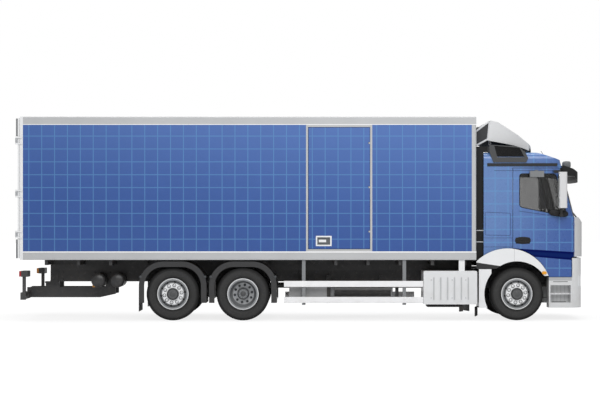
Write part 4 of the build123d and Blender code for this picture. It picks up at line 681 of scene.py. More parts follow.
def cab_front_paint():
    """Nose painted pale grey as painted shade on its white panel, blue pillars with a black edge along the
    screen, pale lining inside.
    """
    f = Finish("cab_front_paint")
    blue = cab_blue_on(f)
    upper = f.mix(pillar_edge(f), blue, EDGE_BLACK)
    # painted shade: the white nose and the faces that look forward take a grey
    nose_shade = f.either(f.above(f.x, 5.264), f.rise(f.nx, 0.5, 0.6))
    outer = f.mix(f.above(f.z, NOSE_Z, 0.005), f.mix(nose_shade, blue, "bcbdbe"), upper)
    base = f.mix(f.outward(CAB_MIDDLE), "d4d5d6", outer)
    return f.done(base, "gloss", 0.3, 0.05, coat=0.35, cloud=0.03)


def bumper_paint():
    """Moulded light grey with painted shade in the step recesses, a darker top plate and two slots on each
    side.
    """
    f = Finish("bumper_paint")
    step = f.below(f.x, 5.21)
    # painted shade: the step recesses are a little darker
    recess = f.both(step, f.below(f.side(), CAB_Y - 0.006))
    slots = f.both(f.between(f.x, *SLOTS_X, 0.004), f.bands(f.z, *SLOTS_Z))
    base = f.mix(recess, colours().moulded, "c2c3c4", 0.2)
    base = f.mix(f.both(recess, f.stripes(f.x, 4.8, 0.075, 0.02)), base, "8d8e8f", 0.3)
    base = f.mix(f.both(step, f.above(f.z, 0.768)), base, "97989a", 0.7)
    return f.done(f.mix(slots, base, "4b4c4d"), "moulding", 0.42, 0.06, 0.1, coat=0.1, cloud=0.05)


def deflector_paint():
    """Moulded light grey outside with painted shade growing towards the front, and dark inside as painted
    shade.
    """
    f = Finish("deflector_paint")
    # painted shade: greyer towards the front outside, and dark on the faces inside
    pale = f.mix(f.rise(f.x, 3.6, 4.5), colours().moulded, "bcbdbf")
    base = f.mix(f.outward((3.9, 0, 3.3)), "474849", pale)
    return f.done(base, "satin", 0.4, 0.06, coat=0.15, cloud=0.04)


def chassis_paint(name, code, dust=0.25, rough=0.5):
    """Satin dark paint with dust."""
    f = Finish(name)
    worn = f.rise(f.noise(14.0, 6.0), 0.55, 0.75)
    return f.done(f.mix(worn, code, "6b6863", 0.25), "chassis", rough, 0.1, dust)


def moulded_plastic(name, code):
    """Grained dark plastic."""
    return Finish(name).done(code, "plastic", 0.55, 0.08, 0.12, cloud=0.1, shine=0.25)


def mudguard_plastic():
    """Dark grey skin with a rolled edge of its own grey and scuffs low down."""
    f = Finish("mudguard_plastic")
    base = f.mix(f.rise(f.side(), GUARD_OUT - 0.004, GUARD_OUT - 0.001), "2c2c2d", colours().guard)
    scuffs = f.both(f.rise(f.noise(22.0, 6.0), 0.6, 0.72), f.rise(f.z, 0.9, 0.4))
    return f.done(f.mix(scuffs, base, "76736e", 0.12), "mudguard", 0.48, 0.1, 0.06, cloud=0.08)


def battery_finish():
    """Grey lids with black straps."""
    f = Finish("battery_finish")
    return f.done(f.mix(f.bands(f.x, *STRAPS_X), "9c9d9f", "1c1c1d"), "battery", 0.5, 0.08, 0.15)


def intake_plastic():
    """Grey frame, black painted shade in its recess, and a black duct with bright clamps."""
    f = Finish("intake_plastic")
    duct = f.below(f.x, 3.595, 0.005)
    # painted shade: the recess is black
    recess = f.both(f.between(f.y, -1.150, -1.130), f.above(f.z, 3.11, 0.01))
    clamps = f.both(duct, f.bands(f.z, *CLAMPS_Z))
    base = f.mix(f.either(duct, recess), "464748", "0a0a0b")
    return f.done(f.mix(clamps, base, "c4c5c6"), "intake", 0.5, 0.08, shine=0.3)


def bright_steel(name="bright_steel", code="b9bbbd", rough=0.34):
    """Plated steel with fine scratches."""
    f = Finish(name)
    scratch = f.rise(f.noise(90.0, 4.0, (1, 0.06, 1)), 0.45, 0.65)
    return f.done(f.mix(scratch, code, "85878a", 0.2), "steel", rough, 0.1, metallic=0.85)


def fittings_finish():
    """Plated hinges and rods with black rubber buffers."""
    f = Finish("fittings_finish")
    outer = f.both(f.above(f.side(), BODY_Y - 0.13, 0.001), f.below(f.side(), BODY_Y - 0.03, 0.001))
    ends = f.either(f.below(f.z, 1.563, 0.001), f.above(f.z, 3.55, 0.001))
    base = f.mix(f.both(outer, ends), "b4b6b8", "1b1b1c")
    return f.done(base, "plated", 0.42, 0.1, metallic=0.3)


def brushed_tank():
    """Brushed aluminium with weld lines across."""
    f = Finish("brushed_tank")
    base = f.mix(f.noise(70.0, 3.0, (0.05, 1, 1)), "c9cbcd", "94979a", 0.35)
    base = f.mix(f.stripes(f.x, 0.25, 0.533, 0.014), base, "6d7073", 0.5)
    return f.done(base, "tank", 0.36, 0.08, 0.2, metallic=0.8)


def rim_paint(name, joint, dished):
    """Silver wheel by its distance from the axle: bright flange, a disc and a grey well toned as painted light
    and shade, a dark hub with a paler middle, and painted shade darker far inside."""
    f = Finish(name)
    well, disc, hub, middle = RIM_TONES[dished]
    r = f.round(*JOINTS[joint][::2])
    paint = f.mix(f.rise(f.noise(40.0, 4.0), 0.5, 0.8), colours().silver, "bcbec0")
    # painted light and shade: the grey well, and the disc's brighter or greyer tone
    paint = f.mix(f.between(r, 0.212, 0.284, 0.006), paint, well)
    paint = f.mix(f.below(r, 0.201, 0.003), paint, disc)
    paint = f.mix(f.below(r, 0.1165, 0.0025), paint, hub)
    paint = f.mix(f.below(r, 0.09, 0.005), paint, middle)
    # painted shade: darker towards the inside of the wheel
    paint = f.mix(f.rise(f.side(), 0.93, 0.9), paint, "3a3a3b", 0.5)
    return f.done(paint, "satin", 0.36, 0.08, metallic=0.25, cloud=0.05)


def tyre_rubber():
    """Dark rubber with painted shade on the sidewalls' outer shoulders and by the beads, so paler in the middle
    of the sidewalls, by the distance from the nearest axle.
    """
    f = Finish("tyre_rubber")
    worn = f.rise(f.noise(30.0, 6.0), 0.4, 0.8)
    rubber = f.mix(worn, colours().rubber, "4c4a47", 0.3)
    front, tag, drive = (f.round(*JOINTS[f"{axle}_left_spin"][::2]) for axle in AXLES)
    near = f.sum("MINIMUM", f.sum("MINIMUM", front, drive), tag)
    # painted shade: darker on the outer shoulders and near the beads
    shoulder_shade = f.sum("MULTIPLY", f.rise(near, 0.43, 0.49), 0.75)
    bead = f.sum("MULTIPLY", f.rise(near, 0.36, 0.325), 0.4)
    base = f.mix(f.either(shoulder_shade, bead), rubber, "0e0e0e")
    return f.done(base, "rubber", 0.72, 0.1, cloud=0.12, shine=0.2)


def window_glass(name="window_glass", border=False):
    """Tinted glass that lets light through, with a black border on the windscreen."""
    f = Finish(name)
    tint, clear = (0.41, 0.41, 0.41), 1.0
    if border:
        low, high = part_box("windscreen")
        edge = f.either(f.rise(f.side(), high.y - 0.075, high.y - 0.07),
                        f.rise(f.z, low.z + 0.1, low.z + 0.09), f.rise(f.z, high.z - 0.05, high.z - 0.045))
        tint, clear = f.mix(edge, tint, "0d0d0e"), f.line(edge, -1.0, 1.0)
    rough = f.line(f.noise(8.0, 4.0), 0.03, 0.01)
    f.give(Base_Color=tint, Transmission_Weight=clear, IOR=1.45, Roughness=rough)
    return f.material


def lens_finish():
    """Clear headlamps, amber markers, and red rear lamps with an amber end."""
    f = Finish("lens_finish")
    rear = f.mix(f.below(f.side(), 0.998), "a3131a", "d98a1c")
    body = f.mix(f.rise(f.x, -5.2, -5.1), rear, "e39a1e")
    clear = f.mix(f.stripes(f.y, 0.0, 0.02, 0.008), "e4e6e8", "a9adb0", 0.2)
    return f.done(f.mix(f.above(f.x, 5.205, 0.005), body, clear), "lens", 0.14, 0.04, coat=0.6, cloud=0.02)


def floor_boards():
    """Coated plywood with boards across and a rough mesh print."""
    f = Finish("floor_boards")
    base = f.mix(f.noise(18.0, 6.0, (6, 0.4, 1)), "5b4029", "7d5d3f")
    return f.done(f.mix(f.stripes(f.x, 0.0, 1.22, 0.006), base, "1f1812", 0.8), "boards", 0.6, 0.1)


def cabin_lining(name, code):
    """Grained soft plastic of the cabin."""
    return Finish(name).done(code, "lining", 0.62, 0.06, cloud=0.06)


def seat_cloth():
    """Woven cloth: two crossed sets of fine stripes lift and shade it, worn paler in places."""
    f = Finish("seat_cloth")
    warp = f.stripes(f.y, 0.0, *WEAVE)
    weave = f.sum("SUBTRACT", warp, f.stripes(f.sum("ADD", f.x, f.z), 0.0, *WEAVE))
    base = f.mix(f.line(weave, 0.25, 0.5), "5d6066", "84888e")
    worn = f.mix(f.rise(f.noise(16.0, 5.0), 0.4, 0.8), base, "9a9ca0", 0.3)
    bump = f.add("ShaderNodeBump", {"Strength": 0.5, "Distance": 0.0008, "Height": weave})
    rough = f.line(f.noise(60.0), 0.1, 0.8)
    f.give(Base_Color=worn, Roughness=rough, Sheen_Weight=0.3, Normal=bump.outputs[0])
    return f.material


def mirror_paint():
    """White housings on black arms, and a grey kerb mirror."""
    f = Finish("mirror_paint")
    housing = f.both(f.between(f.z, 2.166, 2.861), f.rise(f.x, 4.925, 4.93))
    base = f.mix(f.below(f.x, 4.695, 0.005), "161617", "77797b")
    return f.done(f.mix(housing, base, "cfcfd0"), "mirror", 0.34, 0.06, coat=0.2, cloud=0.03)


def mirror_glass():
    """Silvered glass."""
    return Finish("mirror_glass").done("d5dadd", "glass", 0.06, 0.02, metallic=1.0, cloud=0.02)


def visor_plastic():
    """Smoked visor and dark drip rails."""
    f = Finish("visor_plastic")
    rails = f.above(f.side(), CAB_Y - 0.0015, 0.0005)
    return f.done(f.mix(rails, "161617", "2b2c2d"), "visor", 0.48, 0.06, cloud=0.06, shine=0.25)


class TRUCK_OT_finishes(bpy.types.Operator):
    """Makes the finishes and puts one on each CAD node"""
    bl_idname = "truck.finishes"
    bl_label = "Finishes"

    def execute(self, context):
        black = chassis_paint("chassis_paint", "2b2b2c")
        cast = chassis_paint("cast_iron_paint", "4a4b4c", 0.3, 0.58)
        white, blue, door_blue, glass = white_paint(), cab_paint(), cab_door_paint(), window_glass()
        lens, fittings, mirrors, rubber = lens_finish(), fittings_finish(), mirror_paint(), tyre_rubber()
        table = {
            "chassis_frame": black, "subframe": chassis_paint("subframe_paint", "333334", 0.2),
            "front_axle": cast, "rear_axles": cast, "engine": cast, "left_knuckle": cast, "right_knuckle": cast,
            "track_rod": cast, "fuel_tank": brushed_tank(), "exhaust_box": exhaust_paint(),
            "air_tanks": chassis_paint("tank_paint", "2a2a2b", 0.12, 0.36), "battery_box": battery_finish(),
            "side_guards": guard_rail_paint(), "rear_mudguards": mudguard_plastic(),
            "front_mudguards": arch_paint("front_mudguard_paint", CAB_Y + 0.022),
            "coupling_frame": chassis_paint("coupling_paint", "3c3c3d", 0.08), "front_bumper": bumper_paint(),
            "lamps": lens, "cab_lamps": lens, "box_floor": floor_boards(), "box_walls": load_body_paint(),
            "box_roof": white, "box_rails": edge_rail_paint(),
            "box_rear_frame": white_paint("rear_frame_paint", 0.1),
            "side_door": side_door_paint(), "rear_left_door": white, "rear_right_door": white,
            "rear_left_fittings": fittings, "rear_right_fittings": fittings,
            "cab_roof": blue, "cab_back": blue,
            "cab_front": cab_front_paint(), "cab_floor": chassis_paint("cab_floor_paint", "262627", 0.1),
            "windscreen": window_glass("windscreen_glass", True),
            "grille": moulded_plastic("grille_plastic", "232324"),
            "wheel_arches": arch_paint("wheel_arch_paint", CAB_Y - 0.012, True), "sun_visor": visor_plastic(),
            "roof_deflector": deflector_paint(), "air_intake": intake_plastic(),
            "dashboard": cabin_lining("dashboard_lining", "4b4c4e"),
            "seats": cabin_lining("seat_base_lining", "3c3d3f"),
        }
        for side, _ in SIDES:
            table.update({f"{side}_door": door_blue, f"{side}_door_glass": glass, f"{side}_mirror": mirrors})
        for axle in AXLES:
            rim = rim_paint(f"{axle}_rim_paint", f"{axle}_right_spin", axle == "drive")
            plural = "s" * (axle == "drive")
            for side, _ in SIDES:
                table[f"{axle}_{side}_rim{plural}"] = rim
                table[f"{axle}_{side}_tyre{plural}"] = rubber
        for node, made in table.items():
            NODES[node].data.materials.clear()
            NODES[node].data.materials.append(made)
        shared = ("subframe", "air_tanks", "box_rails", "roof_deflector", "seats")
        FINISHES.update({node: table[node] for node in shared})
        FINISHES.update(
            black=black, rubber=rubber, white=white, cloth=seat_cloth(), mirror=mirror_glass(),
            steel=bright_steel(), nut_steel=bright_steel("nut_steel", "e2e3e4", 0.5),
            # a darker copy of the nut steel: painted shade on the twin wheels' nuts, also used for the mudguard
            # bolts
            dark_nuts=bright_steel("dark_nut_steel", "4a4c4e", 0.45),
            plastic=moulded_plastic("trim_plastic", "1d1d1e"),
            grey_plastic=moulded_plastic("grey_trim_plastic", "6f7173"),
            # dark plastic for the sheets of painted shade in the deflector's open frames
            dark_plastic=moulded_plastic("deflector_shade_plastic", "3a3b3c"),
            hub_paint=chassis_paint("hub_paint", "4a4b4c", 0.0, 0.45),
            seam=chassis_paint("cab_seam_paint", "1c3268", 0.0, 0.35))
        return {"FINISHED"}


# Small pieces

def tyre_surface(blocks):
    """Tyre about Z: a closed section of radius and height turned in steps. The tread's radius falls by the
    groove depth in the ring grooves, and for block tyres also between the blocks of each pitch."""
    crown, edge, half, lip, pitches = 0.5115, 0.119, 0.0055, 0.0012, 56
    wall = np.array([(0.2872, 0.096), (0.2885, 0.1065), (0.304, 0.1075), (0.309, 0.1115), (0.318, 0.1235),
                     (0.333, 0.1345), (0.352, 0.1445), (0.374, 0.1515), (0.378, 0.1535), (0.384, 0.1535),
                     (0.388, 0.1530), (0.402, 0.1565), (0.424, 0.1570), (0.446, 0.1550), (0.450, 0.1565),
                     (0.456, 0.1560), (0.460, 0.1515), (0.478, 0.1455), (0.494, 0.1375), (0.504, 0.1285)])
    grooves = np.array((-0.078, -0.026, 0.026, 0.078))
    marks = np.concatenate((grooves - half, grooves - half + lip, grooves + half - lip, grooves + half,
                            (-edge, -0.1, -0.052, 0, 0.052, 0.1, edge)))
    marks = np.sort(marks)[::-1]
    in_groove = (np.abs(marks[:, None] - grooves).min(1) < half - 0.001).astype(float)
    tread = np.column_stack((crown - 0.004 * (marks / edge) ** 2, marks))
    inner = np.array([(0.30, -0.09), (0.34, -0.12), (0.42, -0.13), (0.475, -0.11),
                      (0.475, 0.11), (0.42, 0.13), (0.34, 0.12), (0.30, 0.09)])
    section = np.concatenate((wall, tread, wall[::-1] * (1, -1), inner))
    before, after = np.zeros(len(wall)), np.zeros(len(wall) + len(inner))
    sunk = np.concatenate((before, in_groove, after))
    outer_row = np.concatenate((before, np.ones(len(tread)), after)) * (np.abs(section[:, 1]) > 0.03)
    steps = np.array((0.0, 0.03, 0.72, 0.75)) if blocks else np.array((0.0, 0.25, 0.5, 0.75))
    turn = (2 * pi * (np.arange(pitches)[:, None] + steps) / pitches).ravel()[:, None]
    gap = np.tile((1.0, 0.0, 0.0, 1.0) if blocks else (0.0, 0.0, 0.0, 0.0), pitches)[:, None]
    radius = section[:, 0] - sizes().groove_depth * np.maximum(sunk, gap * outer_row)
    ripple = 0 if blocks else 0.0015 * np.sin(pitches * turn) * sunk
    height = section[:, 1] + ripple + 0 * turn
    points = np.stack((radius * np.cos(turn), radius * np.sin(turn), height), -1)
    return points.reshape(-1, 3), grid_faces(len(turn), len(section), True, True)


def wheels():
    """Each wheel's axle, side, outward sign and place, and whether it is a twin wheel."""
    for axle in AXLES:
        for side, sign in SIDES:
            yield axle, side, sign, np.array(JOINTS[f"{axle}_{side}_spin"]), axle == "drive"


class TRUCK_OT_tyres(bpy.types.Operator):
    """Tyres with ribs in front and behind, and with blocks on the driven wheels"""
    bl_idname = "truck.tyres"
    bl_label = "Tyres"

    def execute(self, context):
        ribbed, blocked = tyre_surface(False), tyre_surface(True)
        for axle, side, sign, place, twin in wheels():
            shifts, form = ((TWIN_Y, -TWIN_Y), blocked) if twin else ((0,), ribbed)
            rings = copies(form, [place + (0, shift, 0) for shift in shifts], (0, sign, 0))
            plural = "s" * twin
            made = piece(f"{axle}_{side}_tread{plural}", rings, f"{axle}_{side}_wheel{plural}",
                         "rubber", 28)
            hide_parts(f"{axle}_{side}_tyre{plural}")
        return {"FINISHED"}


class TRUCK_OT_wheel_nuts(bpy.types.Operator):
    """Nuts on washers and a hub cover with bolts on each wheel, and dark discs as painted shade in the hand
    holes of the single wheels
    """
    bl_idname = "truck.wheel_nuts"
    bl_label = "Wheel nuts"

    def execute(self, context):
        s = sizes()
        bolt_ring, hole_ring, hole_out = 0.078, 0.229, 0.0905
        turn = 2 * pi * (np.arange(s.nuts) + 0.25) / s.nuts
        ring = np.stack((np.cos(turn), 0 * turn, np.sin(turn)), -1)
        cover = revolved(((0, 0), (0.052, 0), (0.052, 0.006), (0.044, 0.011), (0.02, 0.013), (0, 0.0135)), 24)
        for axle, side, sign, place, twin in wheels():
            body, out = f"{axle}_{side}_wheel" + "s" * twin, np.array((0, sign, 0))
            disc_out, hub_out, washer_edge = (0.012, 0.155, 0.002) if twin else (0.112, 0.165, 0.014)
            studs, hub = place + s.nut_circle * ring, place + (hub_out - SINK) * out
            if not twin:
                # painted shade: dark discs stand in the hand holes, where the shade behind the disc shows
                spots = place + hole_ring * ring + hole_out * out
                hole_shades = copies(dome(0.021, 0.002), spots, 0.677 * ring + 0.735 * out)
                trim(f"{axle}_{side}_hand_hole_shades", hole_shades, body)
            washers = copies(dome(s.nut_radius + washer_edge, 0.002), studs + (disc_out - SINK / 2) * out, out)
            bolts = copies(dome(0.008, 0.006), hub + bolt_ring * ring, out)
            covers = together(washers, bolts, copies(cover, [hub], out))
            piece(f"{axle}_{side}_hub_cover", covers, body, "hub_paint")
            nuts = copies(nut(s.nut_radius, 0.024), studs + (disc_out - SINK) * out, out)
            # painted shade: the nuts of the dished twin wheels take the darker copy of the nut steel
            piece(f"{axle}_{side}_nuts", nuts, body, "dark_nuts" if twin else "nut_steel")
        return {"FINISHED"}


class TRUCK_OT_body_fittings(bpy.types.Operator):
    """Rivets along the edge rails and the seal of the side door"""
    bl_idname = "truck.body_fittings"
    bl_label = "Load body fittings"

    def execute(self, context):
        s = sizes()
        along = np.arange(RAIL_X[0] + 0.09, RAIL_X[1] - 0.05, s.rivet_pitch)
        heights = (WALL_Z[0] - 0.032, WALL_Z[0] - 0.135, WALL_Z[1] + 0.032)
        rivets = studded(dome(s.rivet_radius, 0.003), along, heights, BODY_Y - SINK / 2)
        piece("rail_rivets", rivets, "chassis", "box_rails")
        low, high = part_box("side_door")
        leaf = bent_loop(rectangle(low.x - 0.005, 1.380, high.x + 0.005, 3.72), 0.02)
        trim("side_door_seal", beaded((0.0075, 0.016, 0.003), leaf, -BODY_Y + 0.012), "chassis")
        return {"FINISHED"}


class TRUCK_OT_chassis_fittings(bpy.types.Operator):
    """Screws of the exhaust cover, bolts of the mudguards and rails, flaps and tank ends"""
    bl_idname = "truck.chassis_fittings"
    bl_label = "Chassis fittings"

    def execute(self, context):
        drive, tag = JOINTS["drive_left_spin"][0], JOINTS["tag_left_spin"][0]
        along = [axle + shift for axle in (drive, tag) for shift in (-0.62, 0.62)]
        bolts = studded(nut(0.026, 0.016), along, (0.843,), GUARD_OUT - SINK)
        piece("mudguard_bolts", bolts, "chassis", "dark_nuts")
        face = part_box("exhaust_box")[0].y
        screws = [(x, face + 0.0125, z) for x in (2.493, 2.896, 3.155) for z in (0.44, 0.785)]
        piece("cover_screws", copies(dome(0.013, 0.006), screws, (0, -1, 0)), "chassis", "steel")
        rows = studded(dome(0.014, 0.011), np.arange(-4.7, 3.3, 0.31), (0.775, 0.905), FRAME_Y - SINK / 2)
        piece("rail_bolts", rows, "chassis", "black")
        self.flaps(face)
        quarter = np.linspace(0, pi / 2, 9)
        cap = revolved([(0, 0), *zip(0.137 * np.cos(quarter), 0.062 * np.sin(quarter))], 32)
        caps = copies(cap, [(tag - back, -BODY_Y + 0.295, 0.766) for back in (1.463, 1.094)], (0, -1, 0))
        piece("tank_ends", caps, "chassis", "air_tanks")
        return {"FINISHED"}

    def flaps(self, face):
        """Webs that close the sills, flaps behind the front wheels, and the exhaust box's tray and bracket."""
        low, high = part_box("subframe")
        sill = rectangle(low.x, low.z, high.x, high.z)
        webs = [upright(sill, 0.395, 0.012, sign, 0.004) for _, sign in SIDES]
        piece("sill_webs", together(*webs), "chassis", "subframe")
        lean = np.array(((3.335, 1.14), (3.350, 1.14), (3.434, 0.77), (3.419, 0.77)))
        hung = [moved(plate(bent_loop(lean * (1, sign), 0.004, 3), 0.185, 0.002), (0, 0, 0.078))
                for _, sign in SIDES]
        tray = moved(plate(box_loop(0.612, 0.5, 0.03), 0.056, 0.006), (2.733, face + 0.32, 0.261))
        tail = upright(((3.033, 0.171), (3.108, 0.178), (3.117, 0.318), (3.033, 0.318)), -face - 0.09, 0.02, -1)
        trim("under_flaps", together(*hung, tray, tail), "chassis")
        hanger = upright(rectangle(3.021, 0.95, 3.136, 1.172), -face - 0.03, 0.02, -1)
        piece("exhaust_bracket", hanger, "chassis", "white")


def wires(start_a, end_a, start_b, end_b, pitch, width=0.005):
    """Bars between two edges: points spread along both edges, joined in pairs by thin square bars."""
    start_a, end_a, start_b, end_b = np.array((start_a, end_a, start_b, end_b), float)
    count = int(np.linalg.norm(end_a - start_a) / pitch)
    t = np.linspace(0, 1, count + 2)[1:-1, None]
    first, last = start_a + t * (end_a - start_a), start_b + t * (end_b - start_b)
    ahead = (last - first) / np.linalg.norm(last - first, axis=1, keepdims=True)
    out = np.array([[0.0, 1.0, 0.0]]) + 0 * ahead
    across = np.cross(ahead, out)
    corner = np.array([(-1, -1), (1, -1), (1, 1), (-1, 1)]) * width / 2
    ring = corner[:, :1] * across[:, None] + corner[:, 1:] * out[:, None]
    first, last = first[:, None], last[:, None]
    bars = np.stack((first + 0 * ring, first + ring, last + ring, last + 0 * ring), 1)
    numbers = grid_faces(4, 4, False, True)[None] + 16 * np.arange(count)[:, None, None]
    return bars.reshape(-1, 3), numbers.reshape(-1, 4)


class TRUCK_OT_cab_fittings(bpy.types.Operator):
    """Intake mesh, window seals, handles, locker edges, mirrors, wipers, roof lamps and aerial of the cab"""
    bl_idname = "truck.cab_fittings"
    bl_label = "Cab fittings"

    def execute(self, context):
        s = sizes()
        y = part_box("air_intake")[0].y + 0.016
        rear_top, front_top = (3.712, y, 3.366), (4.205, y, 3.328)
        front_foot, rear_foot = (4.290, y, 3.149), (3.770, y, 3.149)
        mesh = together(wires(rear_top, front_top, rear_foot, front_foot, s.mesh_pitch),
                        wires(rear_top, rear_foot, front_top, front_foot, s.mesh_pitch))
        trim("intake_mesh", mesh, "cab")
        window, locker = bent_loop(WINDOW, 0.06, 8), bent_loop(LOCKER, 0.03, 6)
        for side, sign in SIDES:
            door = f"{side}_door"
            seal = beaded((s.seal_width, 0.014, 0.005), window, sign * (CAB_Y - 0.004))
            trim(f"{side}_window_seal", seal, door)
            grip = together(
                moved(pillow((0.153, 0.016, 0.07), 0.75), (4.267, sign * (CAB_Y - 0.004), 1.543)),
                moved(pillow((0.135, 0.012, 0.019), 0.6, 24), (4.262, sign * (CAB_Y + 0.016), 1.552)))
            trim(f"{side}_door_handle", grip, door)
            bead = beaded((0.009, 0.005, 0.002), locker, sign * CAB_Y)
            piece(f"{side}_locker_edge", bead, "cab", "seam")
            foot = moved(pillow((0.19, 0.05, 0.068), 0.7), (4.945, sign * (CAB_Y + 0.048), 2.07), 0.12)
            trim(f"{side}_mirror_foot", foot, door)
            panes = [copies(plate(box_loop(0.165, tall, 0.02), 0.006, 0.002),
                            [(4.933, sign * (CAB_Y + 0.165), z)], (-1, 0, 0))
                     for tall, z in ((0.40, 2.62), (0.17, 2.29))]
            piece(f"{side}_mirror_glass", together(*panes), door, "mirror")
        self.roof()
        # painted shade: dark sheets fill the deflector's open frames where its shaded inside shows, set in grey
        # rims
        opening_y = 1.0
        shade_sheets = [upright(DEFLECTOR_OPENING, opening_y - 0.012, 0.014, sign, 0.02) for _, sign in SIDES]
        piece("deflector_opening_shade", together(*shade_sheets), "cab", "dark_plastic")
        loop = bent_loop(DEFLECTOR_OPENING, 0.02, 4)
        rims = [beaded((0.034, 0.02, 0.004), loop, sign * opening_y) for _, sign in SIDES]
        piece("deflector_opening_rims", together(*rims), "cab", "roof_deflector")
        return {"FINISHED"}

    def roof(self):
        """Wipers lying on the screen, two lamp housings on the visor and an aerial on the roof."""
        arms = []
        for y in (0.48, -0.1, -0.7):
            blade = [on_node("windscreen", (6, y + 0.42 * t, 2.075 + 0.16 * t), (-1, 0, 0))
                     for t in (0, 0.25, 0.5, 0.75, 1)]
            path = np.array(blade) + (0.014, 0, 0.004)
            arms.append(carried(box_loop(0.018, 0.014, 0.004, 3), path))
            foot = on_node("cab_front", (6, y - 0.02, 1.90), (-1, 0, 0))
            arm = np.linspace(foot + (-0.004, 0, 0.03), path[2], 5)
            arms.append(carried(box_loop(0.03, 0.018, 0.006, 3), arm))
        trim("wipers", together(*arms), "cab")
        lamps = []
        for y in (0.78, -0.78):
            seat = on_node("sun_visor", (5.165, y, 4), (0, 0, -1))
            lamps.append(moved(pillow((0.078, 0.10, 0.072), 0.5, 32), seat + (0, 0, 0.05)))
        piece("roof_lamp_housings", together(*lamps), "cab", "grey_plastic")
        foot = on_node("cab_roof", (4.77, -0.62, 4), (0, 0, -1))
        t = np.linspace(0, 1, 6)[:, None]
        rod = carried(disc_loop(0.0045, 8), foot + t * np.array((-0.08, 0, 0.12)), (0, 1, 0))
        trim("aerial", together(rod, moved(dome(0.03, 0.02), foot - (0, 0, 0.004))), "cab")


def swollen(source, voxel, cap):
    """Stuffs a closed form: an even remesh, twenty frames of cloth under pressure, and each point's way
    limited to the cap."""
    bpy.context.view_layer.objects.active = source
    source.select_set(True)
    source.data.remesh_voxel_size = voxel
    bpy.ops.object.voxel_remesh()
    start = points_of(source.data)
    cloth = source.modifiers.new("stuffing", "CLOTH")
    cloth.settings.use_pressure = True
    cloth.settings.uniform_pressure_force = 4
    cloth.settings.effector_weights.gravity = 0
    cloth.settings.quality = 4
    for step in range(1, 21):
        bpy.context.scene.frame_set(step)
    result = bpy.data.meshes.new_from_object(source.evaluated_get(bpy.context.evaluated_depsgraph_get()))
    source.modifiers.remove(cloth)
    bpy.context.scene.frame_set(1)
    way = points_of(result) - start
    length = np.linalg.norm(way, axis=1, keepdims=True)
    way *= np.minimum(1, cap / np.maximum(length, 1e-9))
    source.data.vertices.foreach_set("co", (start + way).ravel())
    source.data.update()
    bpy.data.meshes.remove(result)


def points_of(mesh):
    """A mesh's points as an array."""
    points = np.zeros(len(mesh.vertices) * 3)
    mesh.vertices.foreach_get("co", points)
    return points.reshape(-1, 3)


class TRUCK_OT_seats(bpy.types.Operator):
    """Two padded seats on rigid bases"""
    bl_idname = "truck.seats"
    bl_label = "Seats"

    def execute(self, context):
        shift = sizes().seat_shift
        for name, half, power, (x, z), turn in SEAT_PADS:
            points, faces = pillow(half, power, 48)
            axis = 2 if name == "cushion" else 0
            sunk = 0.012 * np.exp(-((np.abs(points[:, 1]) / half[1] - 0.62) / 0.06) ** 2)
            faced = np.abs(points[:, axis]) > 0.5 * half[axis]
            points[:, axis] -= np.sign(points[:, axis]) * sunk * faced
            surface = moved((points, faces), (x, shift, z), turn)
            first = piece(f"left_seat_{name}", surface, "cab", "cloth", 180)
            swollen(first, 0.010, 0.024)
            mesh = first.data.copy()
            mesh.vertices.foreach_set("co", (points_of(mesh) - (0, 2 * shift, 0)).ravel())
            second = bpy.data.objects.new(f"right_seat_{name}", mesh)
            context.scene.collection.objects.link(second)
            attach(second, "cab")
            for pad in (first, second):
                pad.data.polygons.foreach_set("use_smooth", np.ones(len(pad.data.polygons), bool))
                smooth = pad.modifiers.new("smooth", "SUBSURF")
                smooth.levels = smooth.render_levels = 1
        self.bases(shift)
        return {"FINISHED"}

    def bases(self, shift):
        """Stands whose rings are drawn in about their middle line, and the boards behind the backs."""
        foot, top = np.array((4.25, 0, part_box("cab_floor")[1].z)), np.array((4.25, 0, 1.635))
        waist = np.array((1.0, 1.0, 0.8, 0.9, 1.05))[:, None, None]
        path = foot + np.array((0, 0.02, 0.5, 0.8, 1.0))[:, None] * (top - foot)
        points, faces = carried(box_loop(0.38, 0.46, 0.05), path, (0, 1, 0))
        rings = points.reshape(len(path) + 2, -1, 3)
        middle = path[:, None, :2]
        rings[1:-1, :, :2] = middle + (rings[1:-1, :, :2] - middle) * waist
        lean = np.linspace((3.985, 0, 1.6), (3.868, 0, 2.25), 6)
        board = carried(box_loop(0.36, 0.035, 0.015), lean, (0, 1, 0))
        both = [moved(surface, (0, sign * shift, 0)) for _, sign in SIDES
                for surface in ((rings.reshape(-1, 3), faces), board)]
        made = piece("seat_bases", together(*both), "cab", "seats")
        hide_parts("seats")


